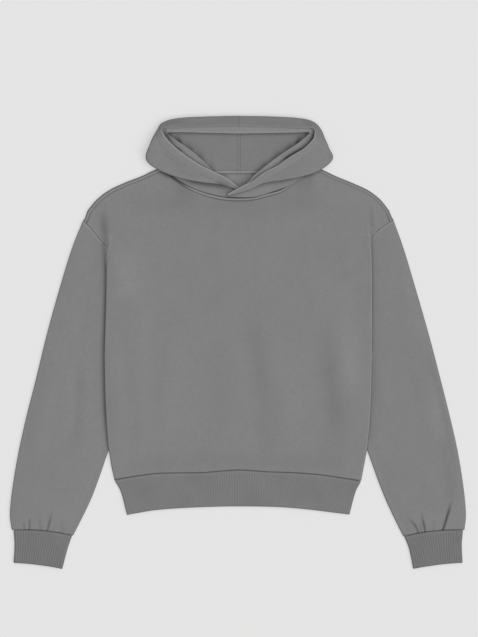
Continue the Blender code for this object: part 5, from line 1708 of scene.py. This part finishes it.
@dataclass
class HoodHalf:
    """One half of the hood: from its neck seam through its folds to the open rim."""

    wardrobe: Wardrobe
    side: Side
    pitch: float = 2.6
    hem_width: float = 17.0
    hem_extra: float = 1.2
    tuck_points: int = 23      # points of a section up to the end of its tuck,
    under_end: int = 38        # to the bend at the opening,
    opening: int = 41          # to the middle of that bend,
    strip_start: int = 44      # to the strip above it,
    strip_middle: int = 53
    strip_end: int = 59
    flap_start: int = 62       # and to the roll at the hood's outer fold
    stitch_tail: int = 24      # points that reach from the rim past the hem's stitches
    panel: Panel = field(init=False)
    marks: tuple[Array, Array] = field(init=False)

    def section(self, row: Array, top: float) -> Array:
        """Middle line of the cloth at one section, from the neck seam to the rim.

        Args:
            row: the section's plan points and heights.
            top: 1 along the top of the opening, where the roll lies flat, and 0 at its sides.

        Returns:
            Its points.
        """
        neck, tuck, inner, roll, rim = row[:10].reshape(5, 2)
        z_neck, z_tuck, z_inner, z_roll, z_rim = row[10:15]
        r = TIGHT_FOLD
        r_roll = max((z_rim - z_roll) * (0.36 - 0.2 * top), TIGHT_FOLD)
        to_inner, to_roll, to_rim = unit(inner - tuck), unit(roll - inner), unit(rim - roll)
        start = tuck - neck
        span = float(np.linalg.norm(start))
        share = min(span / (2 * r), 1.0)
        tuck_out = unit(unit(start) * share - to_inner) if span > 1e-6 else -to_inner
        inner_out, roll_out = unit(to_inner - to_roll), unit(to_roll - to_rim)

        def bend(place: Array, out: Array, radius: float, low: float, degrees: Array) -> Array:
            """Points of a fold's bend, from its lower layer to its upper one."""
            angle = np.radians(degrees)
            plan = place + out * (radius * (np.sin(angle) - 1.0))[:, None]
            return np.concatenate([plan, (low + radius * (1 - np.cos(angle)))[:, None]], axis=-1)

        short = bend(tuck, tuck_out, r, z_tuck, np.linspace(90 * (1 - share), 180, self.tuck_points))
        short[0, 2] = z_neck
        turned = bend(tuck, tuck_out, r, z_tuck, np.linspace(0, 180, 9))
        first = np.append(neck, z_neck)
        steps = np.array(NECK_STEPS) * min(span / 30.0, 1.0)
        steps = np.concatenate([steps, np.linspace(steps[-1], max(span, 1e-6), 6)[1:-1]]) / max(span, 1e-6)
        flat = first + (turned[0] - first) * steps[:, None]
        tuck_part = short + (np.concatenate([flat, turned]) - short) * share
        inner_part = bend(inner, inner_out, r, z_inner, np.linspace(0, 180, 11))
        roll_part = bend(roll, roll_out, r_roll, z_roll, np.linspace(0, 180, 15))
        end = np.append(rim, z_rim)
        back = roll_part[-1] - end
        size = max(float(np.linalg.norm(back)), 1e-6)
        reach = min(self.hem_width / size, 0.7)
        near = reach * np.array(HEM_STEPS)
        far = np.linspace(0.0, 1 - near[0], 9)[1:-1]

        def between(a: Array, b: Array, shares: Array) -> Array:
            """Points on the straight line from a to b."""
            return a + (b - a) * shares[:, None]

        strip = between(inner_part[-1], roll_part[0], np.linspace(0, 1, 13)[1:-1])
        strip[:, 2] += 1.3 * top * np.sin(np.pi * np.linspace(0, 1, 13)[1:-1])
        return np.concatenate([
            tuck_part,
            between(tuck_part[-1], inner_part[0], np.linspace(0, 1, 15)[1:-1]),
            inner_part,
            strip,
            roll_part,
            between(roll_part[-1], end, np.concatenate([far, 1 - near])),
        ])

    def make(self) -> Thing:
        """Model the half."""
        table = np.array(HOOD_LEFT if self.side is Side.LEFT else HOOD_RIGHT, float)
        numbers = row_numbers(table[:, 6:8], self.pitch, (0.0, 0.7, 1.6), SEWN, (NECK_POINT,))
        rows = through(table, numbers)
        for columns in ([0, 1, 2, 3], [10, 11]):
            rows[:, columns] = in_stretches(table[:, columns], numbers, (NECK_POINT,))
        tops = smooth_step(8.4, 10.0, numbers)
        grid = np.array([self.section(row, top) for row, top in zip(rows, tops)])
        centre = 1 - smooth_step(0.0, 40.0, run(grid[::-1, -1])[::-1])
        centre_x = 1.8 + self.side.sign * 0.02
        grid[..., 0] += (centre_x - grid[-1:, :, 0]) * centre[:, None] ** 3
        outward = -self.side.sign
        hem = np.clip(rows[:, 15], 0, 1)[:, None]
        from_neck = run(grid, 1)
        from_rim = run(grid[:, ::-1], 1)[:, ::-1]
        from_centre = run(grid[::-1], 0)[::-1]
        doubled = hem * (1 - smooth_step(self.hem_width - 1.6, self.hem_width - 0.4, from_rim))
        wall = CLOTH + self.hem_extra * doubled
        relief = -0.5 * self.hem_extra * doubled
        stitched = np.abs(from_rim - (self.hem_width - 1.2))
        relief = relief - 0.45 * hem * np.exp(-((stitched / 0.8) ** 2))
        behind = smooth_step(NECK_POINT, NECK_POINT + 1.5, numbers)[:, None]
        relief = relief - 0.3 * np.exp(-((from_neck / 0.8) ** 2)) * (1 - behind)
        relief = relief - seam_relief(from_neck, 5.8, 0.5, 0.6) * behind
        relief = relief - seam_relief(from_centre, 4.6, 0.14, 0.16) * 0.6
        column = np.arange(grid.shape[1])
        exposed = smooth_step(4.0, 14.0, from_rim) * (column > self.strip_middle)[None, :]
        creases = LEFT_HOOD_CREASES if self.side is Side.LEFT else RIGHT_HOOD_CREASES
        for crease in creases:
            relief = relief + crease.relief(grid[..., :2]) * exposed * 1.1
        seed = 41 if self.side is Side.LEFT else 42
        relief = relief + ripple(grid, seed, 70.0, 16.0) * 0.14 * exposed
        grid = grid + normals(grid) * outward * relief[..., None]
        seam = np.minimum(from_neck, stitched + 0.35 + 20 * (1 - hem))
        within = (column < self.tuck_points) * behind
        beside = np.minimum(from_centre + 0.5 * (1 - within), np.abs(from_centre - 4.6) + 0.2)
        seam = np.minimum(seam, beside + 0.6)
        seam = np.minimum(seam, np.abs(from_neck - 5.8) + 0.2 + 20 * (1 - behind))
        fold = from_neck - from_neck[:, self.opening:self.opening + 1]
        top = tops[:, None]
        # Painted highlights where edge is small: along the rim, the lip of the opening, the back neck seam
        # and the strip across the top.
        edge = np.minimum(from_rim * 0.62 + 0.8 * top, np.abs(fold - 2.2) + 0.7)
        edge = np.minimum(edge, np.maximum(np.abs(from_neck - 2.8) - 1.6, 0.0) + 1.1 + 20 * (1 - behind))
        strip = (column >= self.strip_start) & (column < self.strip_end)
        edge = np.minimum(edge, 20.0 - 18.62 * top * strip[None, :])
        self.marks = (from_rim, rows[:, 15])
        shade = self.painted_layer_shade(grid, behind, from_neck)
        # Painted shade along the edges of the tape over the centre seam, and painted light along its middle.
        tape_painted_shade_and_light = 0.3 * line_of(from_centre, 2.1, 0.7) - 0.1 * line_of(from_centre, 0.4, 0.9)
        shade = np.clip(shade + tape_painted_shade_and_light * within, *SHADE_RANGE)
        wall = wall * (1 - 0.45 * (1 - smooth_step(0.0, 1.3, from_rim)))
        self.panel = Panel(
            f"hood_{self.side.value}_cloth", grid, outward, seam,
            edge=edge, shade=shade, wall=wall, soft_edge=0.25,
        )
        piece = self.panel.make(self.wardrobe.face, self.wardrobe.brushed)
        return settle(piece, [f"hood_{self.side.value}"])

    def painted_layer_shade(self, grid: Array, behind: Array, from_neck: Array) -> Array:
        """The painted shade of each point, layer by layer: darker inside the hood, on the top of its outer
        fold, along the front neck seam and in the gaps under its folds, where the least light falls.

        Args:
            grid: the half's points.
            behind: 1 in the sections that start at the back's neck.
            from_neck: how far each point is from the neck seam.

        Returns:
            Shares of darkness.
        """
        tables = LEFT_HOOD_PAINTED_SHADE if self.side is Side.LEFT else RIGHT_HOOD_PAINTED_SHADE
        column = np.arange(grid.shape[1])[None, :]
        layers = {
            "inside": (column < self.tuck_points) * behind,
            "strip": (column >= self.strip_start) & (column < self.flap_start),
            "under": (column < self.under_end) * (1 - behind),
            "flap": column >= self.flap_start,
        }
        shade = 0.06 * layers["inside"] + 0.1 * behind * layers["flap"]
        shade = shade + 0.25 * line_of(from_neck, 0.0, 1.3) * (1 - behind)
        for name, mask in layers.items():
            for crease in tables[name]:
                shade = shade + crease.relief(grid[..., :2]) * mask
        return np.clip(shade, *SHADE_RANGE)


# ---------------------------------------------------------------- sewing


def level_line(panel: Panel, distance: Array, value: float, axis: int, lines: Sequence[int]) -> Array:
    """The line on a panel's right side that keeps a distance from a seam.

    Args:
        panel: the panel.
        distance: each point's distance from the seam.
        value: the distance wanted.
        axis: 0 where the distance grows along columns and 1 where it grows along rows.
        lines: the columns or rows that the line crosses, in order.

    Returns:
        Its points, in millimetres.
    """
    surface = panel.surface()
    found = []
    for k in lines:
        points = surface[:, k] if axis == 0 else surface[k]
        steps = distance[:, k] if axis == 0 else distance[k]
        order = np.argsort(steps)
        found.append([np.interp(value, steps[order], points[order, c]) for c in range(3)])
    return np.array(found)


@dataclass
class StitchRow:
    """A row of top stitches: short threads that lie in a groove of the cloth."""

    name: str
    path: Array
    wardrobe: Wardrobe
    length: float = 2.5
    gap: float = 0.7
    thickness: float = 0.5
    taper_from: float = 0.6    # how far along its half a stitch starts to narrow
    sink: float = 0.22         # how far its ends dip into the cloth

    def make(self) -> Thing:
        """Model one stitch, repeat it and lay the row along its path."""
        line = along(self.path, np.linspace(0, 1, max(int(run(self.path)[-1] / 1.2), 8)))
        total = run(line)[-1]
        guide = bpy.data.curves.new(self.name + "_guide", "CURVE")
        guide.dimensions = "3D"
        guide.twist_mode = "Z_UP"
        spline = guide.splines.new("POLY")
        spline.points.add(len(line) - 1)
        places = (line + CENTRING) * MM
        spline.points.foreach_set("co", np.concatenate([places, np.ones((len(line), 1))], axis=1).ravel())
        rail = bpy.data.objects.new(self.name + "_guide", guide)
        bpy.context.scene.collection.objects.link(rail)
        deselect()
        half = self.length * MM / 2
        middle = half + self.gap * MM / 2
        bpy.ops.mesh.primitive_cylinder_add(
            vertices=6, radius=0.5 * self.thickness * MM, depth=2 * half,
            location=(middle, 0, 0), rotation=(0, np.pi / 2, 0), end_fill_type="TRIFAN",
        )
        piece = bpy.context.object
        piece.name = piece.data.name = self.name
        bpy.ops.object.transform_apply(location=True, rotation=True, scale=True)
        bpy.ops.object.mode_set(mode="EDIT")
        for way in (-1, 1):
            bpy.ops.mesh.select_all(action="SELECT")
            cut = middle + way * self.taper_from * half
            bpy.ops.mesh.bisect(plane_co=(cut, 0, 0), plane_no=(1, 0, 0))
        bpy.ops.object.mode_set(mode="OBJECT")
        for vertex in piece.data.vertices:
            if abs(vertex.co.x - middle) > 0.9 * half:
                vertex.co.y *= 0.5
                vertex.co.z = vertex.co.z * 0.5 - self.sink * MM
        count = max(int(total / (self.length + self.gap)), 2)
        step = total / count
        apply_modifier(
            piece, "ARRAY", fit_type="FIXED_COUNT", count=count, use_relative_offset=False,
            use_constant_offset=True, constant_offset_displace=(step * MM, 0.0, 0.0),
        )
        apply_modifier(piece, "CURVE", object=rail, deform_axis="POS_X")
        bpy.data.objects.remove(rail)
        bpy.ops.object.shade_smooth()
        piece.data.materials.append(self.wardrobe.thread)
        return settle(piece)


@dataclass
class Sewing:
    """The rows of top stitching on the garment."""

    wardrobe: Wardrobe
    body: Body
    hoods: Sequence[HoodHalf]

    def make(self) -> None:
        """Sew every row."""
        from_top, places = self.body.front_marks
        offset = self.body.roll_steps + 1
        first, last = NECK_COLUMNS[0] + 0.05, NECK_COLUMNS[1] - 0.05
        neck = [k + offset for k, at in enumerate(places) if first < at < last]
        front = self.body.front
        StitchRow("stitches_neck", level_line(front, from_top, 5.0, 0, neck), self.wardrobe).make()
        for hood in self.hoods:
            from_rim, hem = hood.marks
            sections = [k for k, share in enumerate(hem) if share > 0.5]
            panel, end = hood.panel, slice(-hood.stitch_tail, None)
            tail = Panel("tail", panel.middle[:, end], panel.outward, panel.seam[:, end])
            path = level_line(tail, from_rim[:, end], hood.hem_width - 1.2, 1, sections)
            StitchRow(f"stitches_hood_{hood.side.value}", path, self.wardrobe).make()


# ---------------------------------------------------------------- studio


@dataclass
class Studio:
    """A pale floor, soft light and a camera that looks straight down."""

    view: tuple[float, float] = (478.0, 637.0)
    span: float = 1.11475          # what the picture's height covers on the floor
    centre: tuple[float, float] = (0.00190, 0.04184)
    height: float = 6.0
    sky: float = 0.24
    overhead: float = 1.95
    overhead_place: tuple[float, float, float] = (0.25, 0.0, 1.0)
    overhead_spread: float = 85.0
    side: float = 0.55
    side_place: tuple[float, float, float] = (0.9, -0.6, 0.8)
    side_spread: float = 30.0
    paper_size: float = 9.0
    paper_flat: float = 3.6        # from the middle to where the paper starts to turn up
    paper_drop: float = 0.0002     # how far it lies below the cloth
    sensor: float = 36.0
    backdrop: Backdrop = Backdrop()

    def floor(self) -> Thing:
        """Lay the paper, with its edges turned up a little."""
        deselect()
        bpy.ops.mesh.primitive_grid_add(x_subdivisions=24, y_subdivisions=24, size=self.paper_size)
        paper = bpy.context.object
        paper.name = paper.data.name = "floor_paper"
        for vertex in paper.data.vertices:
            far = max(abs(vertex.co.x), abs(vertex.co.y)) - self.paper_flat
            vertex.co.z = max(far, 0.0) ** 2 * 0.25 - self.paper_drop
        bpy.ops.object.shade_smooth()
        paper.data.materials.append(self.backdrop.make("backdrop_paper"))
        return paper

    def lamp(self, name: str, place: tuple[float, float, float], spread: float, power: float) -> None:
        """Hang a broad far light that shines from a place towards the garment."""
        data = bpy.data.lights.new(name, "SUN")
        data.angle = np.radians(spread)
        data.energy = power
        lamp = bpy.data.objects.new(name, data)
        x, y, z = np.array(place) / np.linalg.norm(place)
        lamp.location = place
        lamp.rotation_euler = (np.arccos(z), 0.0, np.arctan2(y, x) + np.pi / 2)
        bpy.context.scene.collection.objects.link(lamp)

    def light(self) -> None:
        """Even light from all round, and a softer key from the right and the top."""
        world = bpy.data.worlds.new("studio_air")
        world.use_nodes = True
        ground = world.node_tree.nodes["Background"]
        ground.inputs["Color"].default_value = (1.0, 1.0, 1.0, 1.0)
        ground.inputs["Strength"].default_value = self.sky
        bpy.context.scene.world = world
        self.lamp("overhead_light", self.overhead_place, self.overhead_spread, self.overhead)
        self.lamp("side_light", self.side_place, self.side_spread, self.side)

    def camera(self) -> None:
        """Hang the camera over the middle of the picture."""
        data = bpy.data.cameras.new("camera_above")
        data.sensor_fit = "VERTICAL"
        data.sensor_height = self.sensor
        data.sensor_width = self.sensor * self.view[0] / self.view[1]
        data.lens = self.sensor * self.height / self.span
        data.clip_end = 50.0
        camera = bpy.data.objects.new("camera_above", data)
        camera.location = (*self.centre, self.height)
        bpy.context.scene.collection.objects.link(camera)
        bpy.context.scene.camera = camera

    def build(self) -> None:
        """Set everything up."""
        self.floor()
        self.light()
        self.camera()
        scene = bpy.context.scene
        scene.view_settings.view_transform = "Standard"
        scene.view_settings.look = "None"


def main() -> None:
    """Build the garment's pieces in order, then light and view them."""
    logging.basicConfig(level=logging.INFO, format="%(message)s")
    Studio().build()
    wardrobe = Wardrobe()
    body = Body(wardrobe)
    front = body.make_front()
    back = body.make_back()
    for side in Side:
        sleeve = Sleeve(wardrobe, side).make()
        cuff = Cuff(wardrobe, side).make()
    band = Waistband(wardrobe).make()
    hoods = []
    for side in Side:
        half = HoodHalf(wardrobe, side)
        hood = half.make()
        hoods.append(half)
    Sewing(wardrobe, body, hoods).make()
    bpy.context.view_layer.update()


if __name__ == "__main__":
    main()
